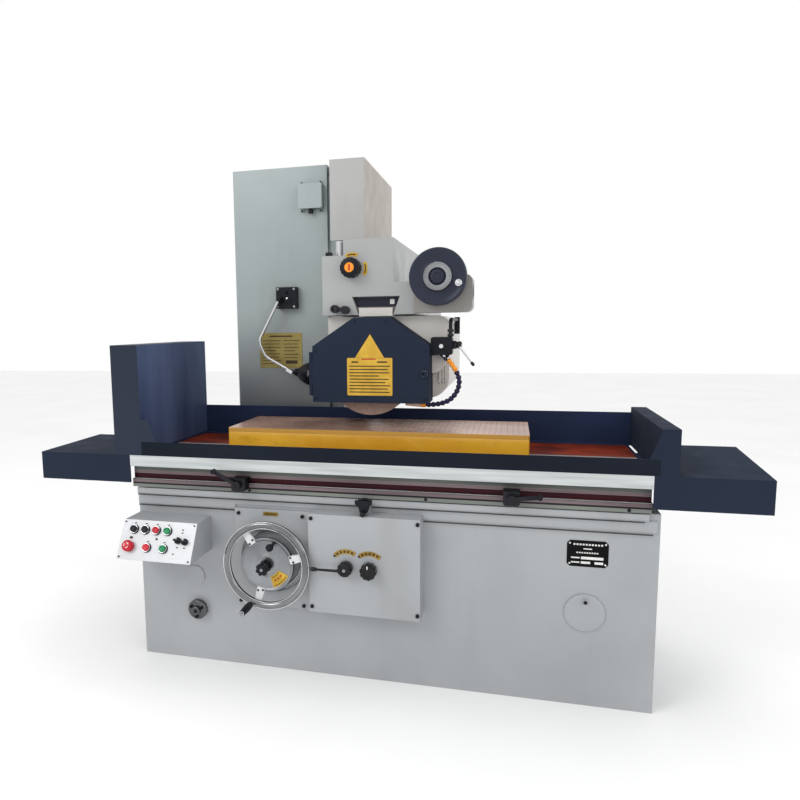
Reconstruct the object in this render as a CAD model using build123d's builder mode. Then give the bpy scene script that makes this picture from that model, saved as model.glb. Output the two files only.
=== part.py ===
from build123d import *
from math import cos, pi, sin, sqrt
import os

# Hydraulic surface grinder, in millimetres. +X along the table's travel to the
# operator's right, +Y away from the operator, +Z up. The origin is on the floor,
# midway along the bed, in line with the middle of the magnetic chuck.

os.makedirs("parts", exist_ok=True)

# ---- driving dimensions ----

# bed
bed_length = 1670.0
bed_front = -233.0
bed_back = 330.0
bed_height = 607.0
bed_wall = 25.0
pedestal_left = -760.0
pedestal_right = -120.0
pedestal_back = 985.0

# table and what stands on it
table_left = -846.0
table_right = 807.0
table_front = -263.0
table_back = 263.0
table_bottom = 612.0
table_top = 724.0
chuck_left = -528.0
chuck_length = 1000.0
chuck_width = 300.0
chuck_top = 811.0
sheet = 3.0
tray_front_top = 771.0
tray_back_top = 838.0
guard_inner_left = -800.0
left_guard_outer = -902.0
left_guard_top = 1099.0
guard_inner_right = 822.0
right_guard_outer = 871.0
right_guard_top = 857.0
end_cover_left = -1199.0
end_cover_right = 1109.0
end_cover_back = 95.0
end_cover_bottom = 628.0
left_cover_rise = 6.0
right_cover_rise = 30.0

# column and the ways on its right side
column_left = -702.0
column_right = -302.0
column_front = 370.0
column_back = 955.0
column_top = 1782.0
way_face = -243.0

# carriage (vertical slide)
carriage_left = -235.0
carriage_right = 18.0
carriage_front = 38.0
carriage_back = 925.0
carriage_bottom = 1190.0
carriage_top = 1450.0
notch_right = -158.0
notch_bottom = 1396.0
flange_right = 90.0
flange_top = 1300.0
slot_left = -128.0
slot_right = 40.0
slot_top = 1253.0
slot_flare = 23.0

# grinding wheel, its spindle and its guard
spindle_x = -57.0
spindle_z = 995.0
wheel_radius = 150.0
wheel_middle_y = 21.0
wheel_width = 40.0
guard_left = -252.0
guard_right = 150.0
guard_front = -46.0
guard_back = 70.0
guard_bottom = 892.0
guard_shoulder = 1084.0
guard_top = 1181.0
plateau_left = -105.0
plateau_right = 13.0

# bed handwheel
handwheel_x = -337.0
handwheel_z = 392.0
handwheel_rim_y = -320.0
handwheel_ring = 134.0
handwheel_tube = 12.0

# crossfeed handwheel
crossfeed_x = 174.0
crossfeed_z = 1310.0
crossfeed_radius = 95.0

# fits
fit = 0.05
gap = 0.5


# ---- small helpers, used inside a BuildPart block ----


def block(x0, x1, y0, y1, z0, z1, mode=Mode.ADD):
    """An upright box between two corners."""
    with Locations(((x0 + x1) / 2, (y0 + y1) / 2, (z0 + z1) / 2)):
        Box(x1 - x0, y1 - y0, z1 - z0, mode=mode)


def round_x(y, z, x0, x1, radius, mode=Mode.ADD):
    """A cylinder along X."""
    with Locations(Location(((x0 + x1) / 2, y, z), (0, 90, 0))):
        Cylinder(radius, x1 - x0, mode=mode)


def round_y(x, z, y0, y1, radius, mode=Mode.ADD):
    """A cylinder along Y."""
    with Locations(Location((x, (y0 + y1) / 2, z), (90, 0, 0))):
        Cylinder(radius, y1 - y0, mode=mode)


def round_z(x, y, z0, z1, radius, mode=Mode.ADD):
    """A cylinder along Z."""
    with Locations((x, y, (z0 + z1) / 2)):
        Cylinder(radius, z1 - z0, mode=mode)


def plate_y(points, y0, y1, mode=Mode.ADD):
    """A flat plate whose outline is given in X and Z, from y0 back to y1."""
    with BuildSketch(Plane((0, y1, 0), x_dir=(1, 0, 0), z_dir=(0, -1, 0))) as outline:
        with BuildLine():
            Polyline(*points, close=True)
        make_face()
    extrude(outline.sketch, amount=y1 - y0, mode=mode)


def plate_x(points, x0, x1, mode=Mode.ADD):
    """A plate whose outline is given in Y and Z, from x0 to x1."""
    with BuildSketch(Plane((x0, 0, 0), x_dir=(0, 1, 0), z_dir=(1, 0, 0))) as outline:
        with BuildLine():
            Polyline(*points, close=True)
        make_face()
    extrude(outline.sketch, amount=x1 - x0, mode=mode)


def save(piece, name):
    """Label a finished piece and write its STEP file."""
    piece.part.label = name
    export_step(piece.part, f"parts/{name}.step")


# ---- bed ----

bed_half = bed_length / 2
band_bottom = 549.0
lip_bottom = 586.0
deck_bottom = 520.0
trough_front = -60.0
trough_back = 80.0
trough_bottom = 560.0
v_way_y = -150.0
flat_way_y = 170.0
v_way_depth = 26.0
v_way_half = 30.0
rib_half = 12.0
disc_left_x = -632.0
disc_left_z = 303.0
disc_right_x = 638.0
disc_right_z = 294.0
drain_x = -619.0
drain_z = 188.0
foot_bore = 13.0
foot_inset_x = 70.0
foot_pocket = 90.0
foot_thick = 30.0

# apron on the front of the bed
plate_left = -472.0
plate_right = -203.0
plate_bottom = 222.0
plate_top = 556.0
plate_thick = 12.0
box_left = -200.0
box_right = 156.0
box_bottom = 243.0
box_top = 566.0
box_front = -300.0
box_cover = 12.0
box_wall = 10.0

with BuildPart() as bed:
    block(-bed_half, bed_half, bed_front, bed_back, 0, bed_height)
    block(pedestal_left, pedestal_right, bed_back, pedestal_back, 0, bed_height)
    # the two raised strips along the top of the front face
    block(-bed_half, bed_half - 8, bed_front - 4, bed_front, band_bottom, lip_bottom)
    block(-bed_half, bed_half - 32, bed_front - 10, bed_front, lip_bottom, bed_height)
    block(plate_left, box_right, bed_front - 4, bed_front, band_bottom, box_top, Mode.SUBTRACT)
    # closed cavities between the ribs
    rib_x = [-bed_half, -280.0, 280.0, bed_half]
    for left, right in zip(rib_x, rib_x[1:]):
        block(
            left + (bed_wall if left == -bed_half else rib_half),
            right - (bed_wall if right == bed_half else rib_half),
            bed_front + bed_wall,
            bed_back - bed_wall,
            bed_wall,
            deck_bottom,
            Mode.SUBTRACT,
        )
    block(
        pedestal_left + bed_wall,
        pedestal_right - bed_wall,
        bed_back + bed_wall,
        pedestal_back - bed_wall,
        bed_wall,
        bed_height - bed_wall,
        Mode.SUBTRACT,
    )
    # trough between the ways, for the hydraulic cylinder's oil return
    block(-bed_half, bed_half, trough_front, trough_back, trough_bottom, bed_height, Mode.SUBTRACT)
    # V way in front, flat way behind
    plate_x(
        [
            (v_way_y - v_way_half, bed_height + 1),
            (v_way_y + v_way_half, bed_height + 1),
            (v_way_y, bed_height - v_way_depth),
        ],
        -bed_half,
        bed_half,
        Mode.SUBTRACT,
    )
    # bore for the handwheel shaft
    round_y(handwheel_x, handwheel_z, bed_front, bed_front + bed_wall, 12 + fit, Mode.SUBTRACT)
    # fixing holes for the floor bolts, in pockets cut into the ends
    for side in (-1, 1):
        for y in (bed_front + 60, bed_back - 60):
            x = side * (bed_half - foot_inset_x / 2)
            block(
                min(x - foot_inset_x / 2, x + foot_inset_x / 2),
                max(x - foot_inset_x / 2, x + foot_inset_x / 2),
                y - 35,
                y + 35,
                foot_thick,
                foot_thick + foot_pocket,
                Mode.SUBTRACT,
            )
            round_z(x, y, 0, foot_thick, foot_bore, Mode.SUBTRACT)
save(bed, "bed_casting")

with BuildPart() as port_covers:
    round_y(disc_left_x, disc_left_z, bed_front - 3, bed_front, 36)
    round_y(disc_right_x, disc_right_z, bed_front - 4, bed_front, 58)
    round_y(disc_right_x, disc_right_z + 38, bed_front - 9, bed_front - 4, 7)
    round_y(drain_x, drain_z, bed_front - 14, bed_front, 33)
    round_y(drain_x, drain_z, bed_front - 26, bed_front - 14, 14)
    with Locations(Location((drain_x, bed_front - 17, drain_z), (90, 0, 0))):
        with PolarLocations(23, 3, start_angle=30):
            Cylinder(5, 6)
save(port_covers, "bed_port_covers")

# ---- apron on the front of the bed: handwheel plate and hydraulic valve box ----

with BuildPart() as handwheel_plate:
    block(plate_left, plate_right, bed_front - plate_thick, bed_front, plate_bottom, plate_top)
    round_y(handwheel_x, handwheel_z, bed_front - 34, bed_front - plate_thick, 34)
    round_y(handwheel_x, handwheel_z, bed_front - 34, bed_front, 12 + fit, Mode.SUBTRACT)
save(handwheel_plate, "handwheel_plate")

# the reversing lever turns on a pin held in a lug on top of the valve box
lever_x = -22.0
lever_z = 585.0
lug_front = -258.0
lug_back = -244.0
pin_radius = 6.0
pin_front = -289.0

# the two control knobs on the valve box turn on short pins
start_knob_x = -76.0
start_knob_z = 401.0
speed_knob_x = -2.0
speed_knob_z = 399.0
knob_bore = 8.0

with BuildPart() as valve_box:
    block(box_left, box_right, box_front + box_cover, bed_front, box_bottom, box_top)
    block(
        box_left + box_wall,
        box_right - box_wall,
        box_front + box_cover,
        bed_front,
        box_bottom + box_wall,
        box_top - box_wall,
        Mode.SUBTRACT,
    )
    block(lever_x - 16, lever_x + 16, lug_front, lug_back, box_top, lever_z + 15)
    round_y(lever_x, lever_z, pin_front, lug_front, pin_radius)
    fillet(valve_box.edges().filter_by(Axis.Y).group_by(Axis.X)[0], 8)
save(valve_box, "valve_box")

with BuildPart() as valve_box_cover:
    block(box_left, box_right, box_front, box_front + box_cover, box_bottom, box_top)
    for x, z in ((start_knob_x, start_knob_z), (speed_knob_x, speed_knob_z)):
        round_y(x, z, box_front, box_front + box_cover, knob_bore + fit, Mode.SUBTRACT)
save(valve_box_cover, "valve_box_cover")

# ---- control panel: a wedge box with a sloped face ----

panel_left = -832.0
panel_right = -566.0
panel_top = 519.0
panel_top_front = -333.0
panel_low_front = -396.0
panel_bottom = 402.0
panel_wall = 3.0
panel_run = panel_top_front - panel_low_front
panel_drop = panel_top - panel_bottom
panel_slope = sqrt(panel_run**2 + panel_drop**2)
down_y = -panel_run / panel_slope
down_z = -panel_drop / panel_slope
out_y = down_z
out_z = -down_y
stem_hole = 7.5


def panel_point(x, s, height=0.0):
    """A point on the sloped face: s down from its top edge, height above it."""
    return (
        x,
        panel_top_front + s * down_y + height * out_y,
        panel_top + s * down_z + height * out_z,
    )


def panel_plane(x, s, height=0.0):
    """A plane on the sloped face, its normal pointing out of the panel."""
    return Plane(panel_point(x, s, height), x_dir=(1, 0, 0), z_dir=(0, out_y, out_z))


# two rows of push buttons, the emergency stop and the two selector switches
button_rows = [
    (-787.0, 32.0),
    (-746.0, 32.0),
    (-706.0, 32.0),
    (-665.0, 32.0),
    (-729.0, 90.0),
    (-669.0, 90.0),
]
stop_place = (-793.0, 90.0)
selector_places = [(-622.0, 60.0), (-597.0, 63.0)]

with BuildPart() as control_panel_box:
    plate_x(
        [
            (bed_front, panel_top),
            (panel_top_front, panel_top),
            (panel_low_front, panel_bottom),
            (bed_front, panel_bottom),
        ],
        panel_left,
        panel_right,
    )
    inner_top = panel_top - panel_wall
    inner_low = panel_bottom + panel_wall
    plate_x(
        [
            (bed_front - 6, inner_top),
            (panel_top_front + 8, inner_top),
            (panel_top_front - 20 * 0.9, inner_top - 60),
            (panel_low_front + 12, inner_low),
            (bed_front - 6, inner_low),
        ],
        panel_left + panel_wall,
        panel_right - panel_wall,
        Mode.SUBTRACT,
    )
    with BuildSketch(panel_plane((panel_left + panel_right) / 2, panel_slope / 2)):
        Rectangle(panel_right - panel_left - 24, panel_slope - 24)
    extrude(amount=-24, mode=Mode.SUBTRACT)
save(control_panel_box, "control_panel_box")

with BuildPart() as control_panel_plate:
    with BuildSketch(panel_plane((panel_left + panel_right) / 2, panel_slope / 2)):
        Rectangle(panel_right - panel_left, panel_slope)
    extrude(amount=panel_wall)
    for x, s in button_rows + [stop_place] + selector_places:
        with BuildSketch(panel_plane(x, s)):
            Circle(stem_hole)
        extrude(amount=panel_wall, mode=Mode.SUBTRACT)
save(control_panel_plate, "control_panel_plate")

# ---- screws that hold the front covers ----

with BuildPart() as front_screws:
    for x in (plate_left + 14, plate_right - 32):
        for z in (plate_bottom + 13, plate_top - 17):
            round_y(x, z, bed_front - plate_thick - 5, bed_front - plate_thick, 6)
    for x in (box_left + 10, box_right - 8):
        for z in (box_bottom + 19, box_top - 14):
            round_y(x, z, box_front - 5, box_front, 6)
    for x in (panel_left + 8, panel_right - 8):
        for s in (8, panel_slope - 8):
            with BuildSketch(panel_plane(x, s, panel_wall)):
                Circle(3)
            extrude(amount=2)
save(front_screws, "front_screws")

# ---- hydraulic cylinder between the ways, and its piston rod ----

rod_y = 10.0
rod_z = 652.0
cylinder_half = 560.0
cylinder_radius = 33.0
cylinder_bore = 26.0
rod_radius = 14.0
cap_length = 30.0

with BuildPart() as hydraulic_cylinder:
    round_x(rod_y, rod_z, -cylinder_half, cylinder_half, cylinder_radius)
    for x in (-cylinder_half + 40, cylinder_half - 40):
        block(x - 20, x + 20, rod_y - 22, rod_y + 22, trough_bottom, rod_z)
    round_x(
        rod_y, rod_z, -cylinder_half + cap_length, cylinder_half - cap_length, cylinder_bore, Mode.SUBTRACT
    )
    round_x(rod_y, rod_z, -cylinder_half, cylinder_half, rod_radius + fit, Mode.SUBTRACT)
save(hydraulic_cylinder, "hydraulic_cylinder")

with BuildPart() as piston_rod:
    round_x(rod_y, rod_z, end_cover_left + 6, end_cover_right - 6, rod_radius)
    round_x(rod_y, rod_z, -25, 25, cylinder_bore - fit)
    round_x(rod_y, rod_z, end_cover_left + 6, end_cover_left + 20, 20)
    round_x(rod_y, rod_z, end_cover_right - 20, end_cover_right - 6, 20)
save(piston_rod, "piston_rod")

# ---- table: inverted channel with a groove along its front for the trip dogs ----

strip_bottom = 686.0
groove_back = -238.0
lip_front = -250.0
lip_top = 640.0
channel_half_front = -110.0
channel_back = 130.0
channel_top = 692.0

with BuildPart() as table:
    block(table_left, table_right, table_front, table_back, table_bottom, table_top)
    block(table_left, table_right, table_front, lip_front, table_bottom, strip_bottom, Mode.SUBTRACT)
    block(table_left, table_right, lip_front, groove_back, lip_top, strip_bottom, Mode.SUBTRACT)
    block(
        table_left, table_right, channel_half_front, channel_back, table_bottom, channel_top, Mode.SUBTRACT
    )
    # the V runner under the front rail, a shade smaller than the bed's V way
    plate_x(
        [
            (v_way_y - v_way_half + 6, table_bottom),
            (v_way_y + v_way_half - 6, table_bottom),
            (v_way_y, table_bottom - v_way_depth + 2),
        ],
        table_left + 60,
        table_right - 60,
    )
    block(table_left + 60, table_right - 60, flat_way_y - 25, flat_way_y + 25, bed_height + gap, table_bottom)
    # T slot along the middle of the top, under the chuck
    block(table_left, table_right, -7, 7, table_top - 12, table_top, Mode.SUBTRACT)
    block(table_left, table_right, -12, 12, table_top - 22, table_top - 12, Mode.SUBTRACT)
save(table, "table_casting")

# ---- magnetic chuck ----

chuck_right = chuck_left + chuck_length
chuck_half = chuck_width / 2
face_thick = 14.0

with BuildPart() as chuck_body:
    block(chuck_left, chuck_right, -chuck_half, chuck_half, table_top, chuck_top - face_thick)
    block(
        chuck_left + 25,
        chuck_right - 25,
        -chuck_half + 20,
        chuck_half - 20,
        table_top + 15,
        chuck_top - face_thick,
        Mode.SUBTRACT,
    )
    fillet(chuck_body.edges().filter_by(Axis.Z).group_by(SortBy.LENGTH)[-1], 6)
save(chuck_body, "chuck_body")

with BuildPart() as chuck_face:
    block(chuck_left, chuck_right, -chuck_half, chuck_half, chuck_top - face_thick, chuck_top)
    fillet(chuck_face.edges().filter_by(Axis.Z), 6)
save(chuck_face, "chuck_face")

# ---- sheet metal round the table ----

floor_margin = 30.0

with BuildPart() as splash_tray:
    block(guard_inner_left, guard_inner_right, table_front, table_back, table_top, tray_back_top)
    block(
        guard_inner_left,
        guard_inner_right,
        table_front + sheet,
        table_back - sheet,
        table_top + sheet,
        tray_back_top,
        Mode.SUBTRACT,
    )
    block(
        guard_inner_left,
        guard_inner_right,
        table_front,
        table_front + sheet,
        tray_front_top,
        tray_back_top,
        Mode.SUBTRACT,
    )
    block(
        guard_inner_left,
        guard_inner_right,
        table_front + floor_margin,
        table_back - floor_margin,
        table_top,
        table_top + sheet,
        Mode.SUBTRACT,
    )
    for x in (guard_inner_left, table_right - sheet):
        block(x, x + sheet, table_front + sheet, table_back - sheet, table_top, table_top + 8)
save(splash_tray, "splash_tray")

gusset_left = -746.0
gusset_top = 847.0
gusset_flat = -776.0

with BuildPart() as left_guard:
    block(left_guard_outer, guard_inner_left, table_front, table_back, table_top, left_guard_top)
    block(
        left_guard_outer + sheet,
        guard_inner_left - sheet,
        table_front + sheet,
        table_back - sheet,
        table_top,
        left_guard_top - sheet,
        Mode.SUBTRACT,
    )
    plate_y(
        [
            (guard_inner_left, tray_front_top),
            (gusset_left, tray_front_top),
            (gusset_flat, gusset_top),
            (guard_inner_left, gusset_top),
        ],
        table_front,
        table_front + sheet,
    )
save(left_guard, "left_splash_guard")

with BuildPart() as right_guard:
    block(guard_inner_right, right_guard_outer, table_front, table_back, table_top, right_guard_top)
    block(
        guard_inner_right + sheet,
        right_guard_outer - sheet,
        table_front + sheet,
        table_back - sheet,
        table_top,
        right_guard_top - sheet,
        Mode.SUBTRACT,
    )
    plate_y(
        [
            (guard_inner_right, tray_front_top),
            (guard_inner_right - 30, tray_front_top),
            (guard_inner_right, right_guard_top - 12),
        ],
        table_front,
        table_front + sheet,
    )
save(right_guard, "right_splash_guard")


def end_cover(x0, x1, wall_side, shoulder, rise):
    """A box over the end of the piston rod, open below and towards the table.

    From the shoulder outwards its top slopes up to the rear.
    """
    slope0 = x0 if wall_side < 0 else shoulder
    slope1 = shoulder if wall_side < 0 else x1
    lid = table_top - sheet
    inner_back = end_cover_back - sheet
    with BuildPart() as cover:
        block(x0, x1, table_front, end_cover_back, end_cover_bottom, table_top)
        plate_x(
            [
                (table_front, table_top),
                (end_cover_back, table_top),
                (end_cover_back, table_top + rise),
            ],
            slope0,
            slope1,
        )
        inner0 = x0 + (sheet if wall_side < 0 else 0)
        inner1 = x1 - (sheet if wall_side > 0 else 0)
        block(inner0, inner1, table_front + sheet, inner_back, end_cover_bottom, lid, Mode.SUBTRACT)
        plate_x(
            [
                (table_front + sheet, lid - 1),
                (inner_back, lid - 1),
                (inner_back, lid + rise),
                (table_front + sheet, lid),
            ],
            slope0 + sheet,
            slope1 - sheet,
            Mode.SUBTRACT,
        )
        # thick pad on the end wall that takes the rod's nut
        pad = x0 if wall_side < 0 else x1 - 6
        round_x(rod_y, rod_z, pad, pad + 6, 22)
    return cover


left_cover = end_cover(end_cover_left, table_left, -1, left_guard_outer - gap, left_cover_rise)
save(left_cover, "left_end_cover")
right_cover = end_cover(table_right, end_cover_right, 1, right_guard_outer + gap, right_cover_rise)
save(right_cover, "right_end_cover")

# ---- trip dogs on the table's front groove, each with its clamping lever ----

dog_half = 24.0
dog_front = -286.0
dog_bottom = 622.0
dog_top = 664.0
dog_pivot_z = 645.0
dog_stud = 6.0
dog_lever_front = -302.0


def trip_dog(x):
    """A block that hangs in front of the groove, with a tongue inside it and a stud."""
    with BuildPart() as dog:
        block(x - dog_half, x + dog_half, dog_front, lip_front - gap, dog_bottom, dog_top)
        block(x - dog_half, x + dog_half, lip_front - gap, groove_back - gap, lip_top + gap, dog_top)
        round_y(x, dog_pivot_z, dog_lever_front + 1, dog_front, dog_stud)
        chamfer(dog.edges().filter_by(Axis.Y).group_by(Axis.Z)[0], 5)
    return dog


def dog_lever(x, length, angle):
    """A clamping lever that turns on the dog's stud; angle is up from +X."""
    with BuildPart() as lever:
        round_y(x, dog_pivot_z, dog_lever_front, dog_front - gap, 12)
        with Locations(
            Location(
                (
                    x + length / 2 * cos(angle * pi / 180),
                    (dog_lever_front + dog_front - gap) / 2,
                    dog_pivot_z + length / 2 * sin(angle * pi / 180),
                ),
                (0, -angle, 0),
            )
        ):
            Box(length, 9, 11)
        round_y(
            x + length * cos(angle * pi / 180),
            dog_pivot_z + length * sin(angle * pi / 180),
            dog_lever_front,
            dog_front - gap,
            8,
        )
        round_y(x, dog_pivot_z, dog_lever_front, dog_front - gap, dog_stud + fit, Mode.SUBTRACT)
    return lever


left_dog_x = -440.0
right_dog_x = 421.0
left_dog = trip_dog(left_dog_x)
save(left_dog, "left_trip_dog")
right_dog = trip_dog(right_dog_x)
save(right_dog, "right_trip_dog")
left_dog_lever = dog_lever(left_dog_x, 92, 153)
save(left_dog_lever, "left_dog_lever")
right_dog_lever = dog_lever(right_dog_x, 80, 6)
save(right_dog_lever, "right_dog_lever")

# ---- reversing lever, start lever and speed knob ----

with BuildPart() as reversing_lever:
    round_y(lever_x, lever_z, pin_front + 1, lug_front - gap, 13)
    block(lever_x - 8, lever_x + 8, -284, -263, lever_z, 617)
    block(lever_x - 22, lever_x + 22, -284, -263, 600, 612)
    block(lever_x - 5, lever_x + 5, -298, -276, lever_z - 14, lever_z - 6)
    with Locations((lever_x, -304, lever_z - 10)):
        Sphere(9)
    round_y(lever_x, lever_z, pin_front - 1, lug_front, pin_radius + fit, Mode.SUBTRACT)
save(reversing_lever, "reversing_lever")

knob_base = box_front - gap
knob_front = -338.0
arm_y = -326.0
arm_length = 110.0

with BuildPart() as start_lever:
    round_y(start_knob_x, start_knob_z, knob_front, knob_base, 18)
    round_y(start_knob_x, start_knob_z, knob_base, box_front + box_cover + 10, knob_bore)
    round_x(arm_y, start_knob_z - 6, start_knob_x - arm_length, start_knob_x - 10, 4.5)
    round_x(arm_y, start_knob_z - 6, start_knob_x - arm_length, start_knob_x - arm_length + 20, 6.5)
save(start_lever, "start_lever")

with BuildPart() as speed_knob:
    round_y(speed_knob_x, speed_knob_z, knob_front, knob_base, 20)
    round_y(speed_knob_x, speed_knob_z, knob_base, box_front + box_cover + 10, knob_bore)
    with Locations(Location((speed_knob_x, knob_front + 10, speed_knob_z), (90, 0, 0))):
        with PolarLocations(24, 8):
            Cylinder(6, 24, mode=Mode.SUBTRACT)
save(speed_knob, "speed_knob")

# ---- push buttons, emergency stop and selector switches ----


def panel_piece(x, s, layers):
    """Discs stacked along the panel's normal: (bottom, top, radius)."""
    with BuildPart() as piece:
        for bottom, top, radius in layers:
            with BuildSketch(panel_plane(x, s, bottom)):
                Circle(radius)
            extrude(amount=top - bottom)
    return piece


button_layers = [(-8, panel_wall + 5, stem_hole - 0.5), (panel_wall + 5, panel_wall + 13, 11.5)]
for number, (x, s) in enumerate(button_rows, start=1):
    push_button = panel_piece(x, s, button_layers)
    save(push_button, f"push_button_{number}")

emergency_stop = panel_piece(
    *stop_place, [(-8, panel_wall + 9, stem_hole - 0.5), (panel_wall + 9, panel_wall + 24, 19)]
)
save(emergency_stop, "emergency_stop")

for name, (x, s) in zip(("left_selector", "right_selector"), selector_places):
    with BuildPart() as selector:
        with BuildSketch(panel_plane(x, s, -8)):
            Circle(stem_hole - 0.5)
        extrude(amount=8 + panel_wall + gap)
        with BuildSketch(panel_plane(x, s, panel_wall + gap)):
            Circle(11)
        extrude(amount=7)
        with BuildSketch(panel_plane(x, s, panel_wall + gap + 7)):
            Rectangle(21, 6)
        extrude(amount=11)
    save(selector, name)

# ---- bed handwheel, its grip and its clutch knob ----

hub_disc_radius = 90.0
hub_back = handwheel_rim_y + 22
hub_front = handwheel_rim_y + 4
grip_x = -389.0
grip_z = 262.0
grip_length = 84.0
clutch_bore = 9.0
clutch_stem_end = -276.0

with BuildPart() as handwheel:
    wheel_middle = (handwheel_x, handwheel_rim_y, handwheel_z)
    with BuildSketch(Plane(wheel_middle, x_dir=(1, 0, 0), z_dir=(0, 0, 1))):
        with Locations((handwheel_ring, 0)):
            Circle(handwheel_tube)
    revolve(axis=Axis((handwheel_x, 0, handwheel_z), (0, 1, 0)))
    round_y(handwheel_x, handwheel_z, hub_front, hub_back, hub_disc_radius)
    for angle in (125, 15, 255):
        middle = (hub_disc_radius + handwheel_ring) / 2
        with Locations(
            Location(
                (
                    handwheel_x + middle * cos(angle * pi / 180),
                    handwheel_rim_y + 10,
                    handwheel_z + middle * sin(angle * pi / 180),
                ),
                (0, -angle, 0),
            )
        ):
            Box(handwheel_ring - hub_disc_radius + 10, 8, 26)
    round_y(handwheel_x, handwheel_z, hub_front, bed_front + bed_wall - 3, 12)
    round_y(handwheel_x, handwheel_z, hub_front, bed_front, clutch_bore + fit, Mode.SUBTRACT)
    # stud for the grip
    round_y(grip_x, grip_z, handwheel_rim_y - grip_length - 8, handwheel_rim_y, 5)
save(handwheel, "elevating_handwheel")

with BuildPart() as grip:
    grip_front = handwheel_rim_y - grip_length - 4
    grip_back = handwheel_rim_y - 13
    round_y(grip_x, grip_z, grip_front, grip_back, 12)
    round_y(grip_x, grip_z, grip_front, grip_back, 5 + fit, Mode.SUBTRACT)
save(grip, "handwheel_grip")

with BuildPart() as clutch_knob:
    round_y(handwheel_x, handwheel_z, hub_front - 50, hub_front - 12, 21)
    round_y(handwheel_x, handwheel_z, hub_front - 12, clutch_stem_end, clutch_bore)
    with Locations(Location((handwheel_x, hub_front - 31, handwheel_z), (90, 0, 0))):
        with PolarLocations(25, 8):
            Cylinder(6, 38, mode=Mode.SUBTRACT)
save(clutch_knob, "clutch_knob")

# ---- column with its two vertical ways and the elevating screw's bearings ----

column_wall = 22.0
way_bottom = 640.0
way_top = 1740.0
way_neck = -270.0
screw_x = -268.0
screw_y = 620.0
screw_radius = 15.0
journal_radius = 12.0
bearing_half = 30.0
low_bearing = 690.0
high_bearing = 1705.0
bearing_height = 30.0

with BuildPart() as column:
    block(column_left, column_right, column_front, column_back, bed_height, column_top)
    block(
        column_left + column_wall,
        column_right - column_wall,
        column_front + column_wall,
        column_back - column_wall,
        bed_height + column_wall,
        column_top - column_wall,
        Mode.SUBTRACT,
    )
    for y0, y1 in ((column_front + 2, column_front + 70), (column_back - 100, column_back - 32)):
        block(column_right, way_neck, y0 + 14, y1 - 14, way_bottom, way_top)
        block(way_neck, way_face, y0, y1, way_bottom, way_top)
    for z in (low_bearing, high_bearing):
        block(
            column_right,
            way_face - 5,
            screw_y - bearing_half,
            screw_y + bearing_half,
            z,
            z + bearing_height,
        )
        round_z(screw_x, screw_y, z, z + bearing_height, journal_radius + fit, Mode.SUBTRACT)
    fillet(column.edges().filter_by(Axis.Z).group_by(Axis.X)[0], 10)
save(column, "column_casting")

with BuildPart() as screw:
    round_z(screw_x, screw_y, low_bearing + bearing_height + gap, high_bearing - gap, screw_radius)
    round_z(screw_x, screw_y, low_bearing - 3, high_bearing + bearing_height + 3, journal_radius)
save(screw, "elevating_screw")

# ---- junction box and work lamp on the column's front ----

lamp_y = 318.0
mount_back = column_front
mount_front = 334.0
boss_x = -494.0
boss_z = 1262.0
boss_radius = 9.0
lamp_pivot_x = -447.0
lamp_pivot_z = 971.0
neck_radius = 5.5
bell_tilt = -5.0
bell_radius = 46.0
bell_depth = 66.0
bell_wall = 2.0

with BuildPart() as junction_box:
    block(-414, -316, column_front - 34, column_front, 1614, 1710)
    fillet(junction_box.edges().filter_by(Axis.Y), 6)
    for x in (-404, -326):
        for z in (1606, 1718):
            block(x - 7, x + 7, column_front - 5, column_front, min(z, 1612), max(z, 1712))
save(junction_box, "junction_box")

with BuildPart() as lamp_mount:
    block(-512, -428, mount_front, mount_back, 1225, 1311)
    round_y(boss_x, boss_z, lamp_y - 11, mount_front, boss_radius)
    round_y(-470, 1290, mount_front - 12, mount_front, 5)
save(lamp_mount, "lamp_mount")

with BuildPart() as gooseneck:
    with BuildLine() as neck_path:
        FilletPolyline(
            (boss_x - 4.8, lamp_y, boss_z - 8.4),
            (-586, lamp_y, 1094),
            (-556, lamp_y, 1032),
            (lamp_pivot_x - 13, lamp_y, lamp_pivot_z + 8),
            radius=[48, 45],
        )
    with BuildSketch(Plane(neck_path.line @ 0, z_dir=neck_path.line % 0)):
        Circle(neck_radius)
    sweep()
    # fork that carries the lamp head's pin
    with Locations(Location((lamp_pivot_x - 13, lamp_y, lamp_pivot_z + 8), (0, 30, 0))):
        Box(12, 26, 13)
    for y in (lamp_y - 13, lamp_y + 9):
        with Locations(Location((lamp_pivot_x - 3, y + 2, lamp_pivot_z + 2), (0, 30, 0))):
            Box(18, 4, 13)
    round_y(lamp_pivot_x, lamp_pivot_z, lamp_y - 13, lamp_y + 13, 3)
save(gooseneck, "lamp_gooseneck")

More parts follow.
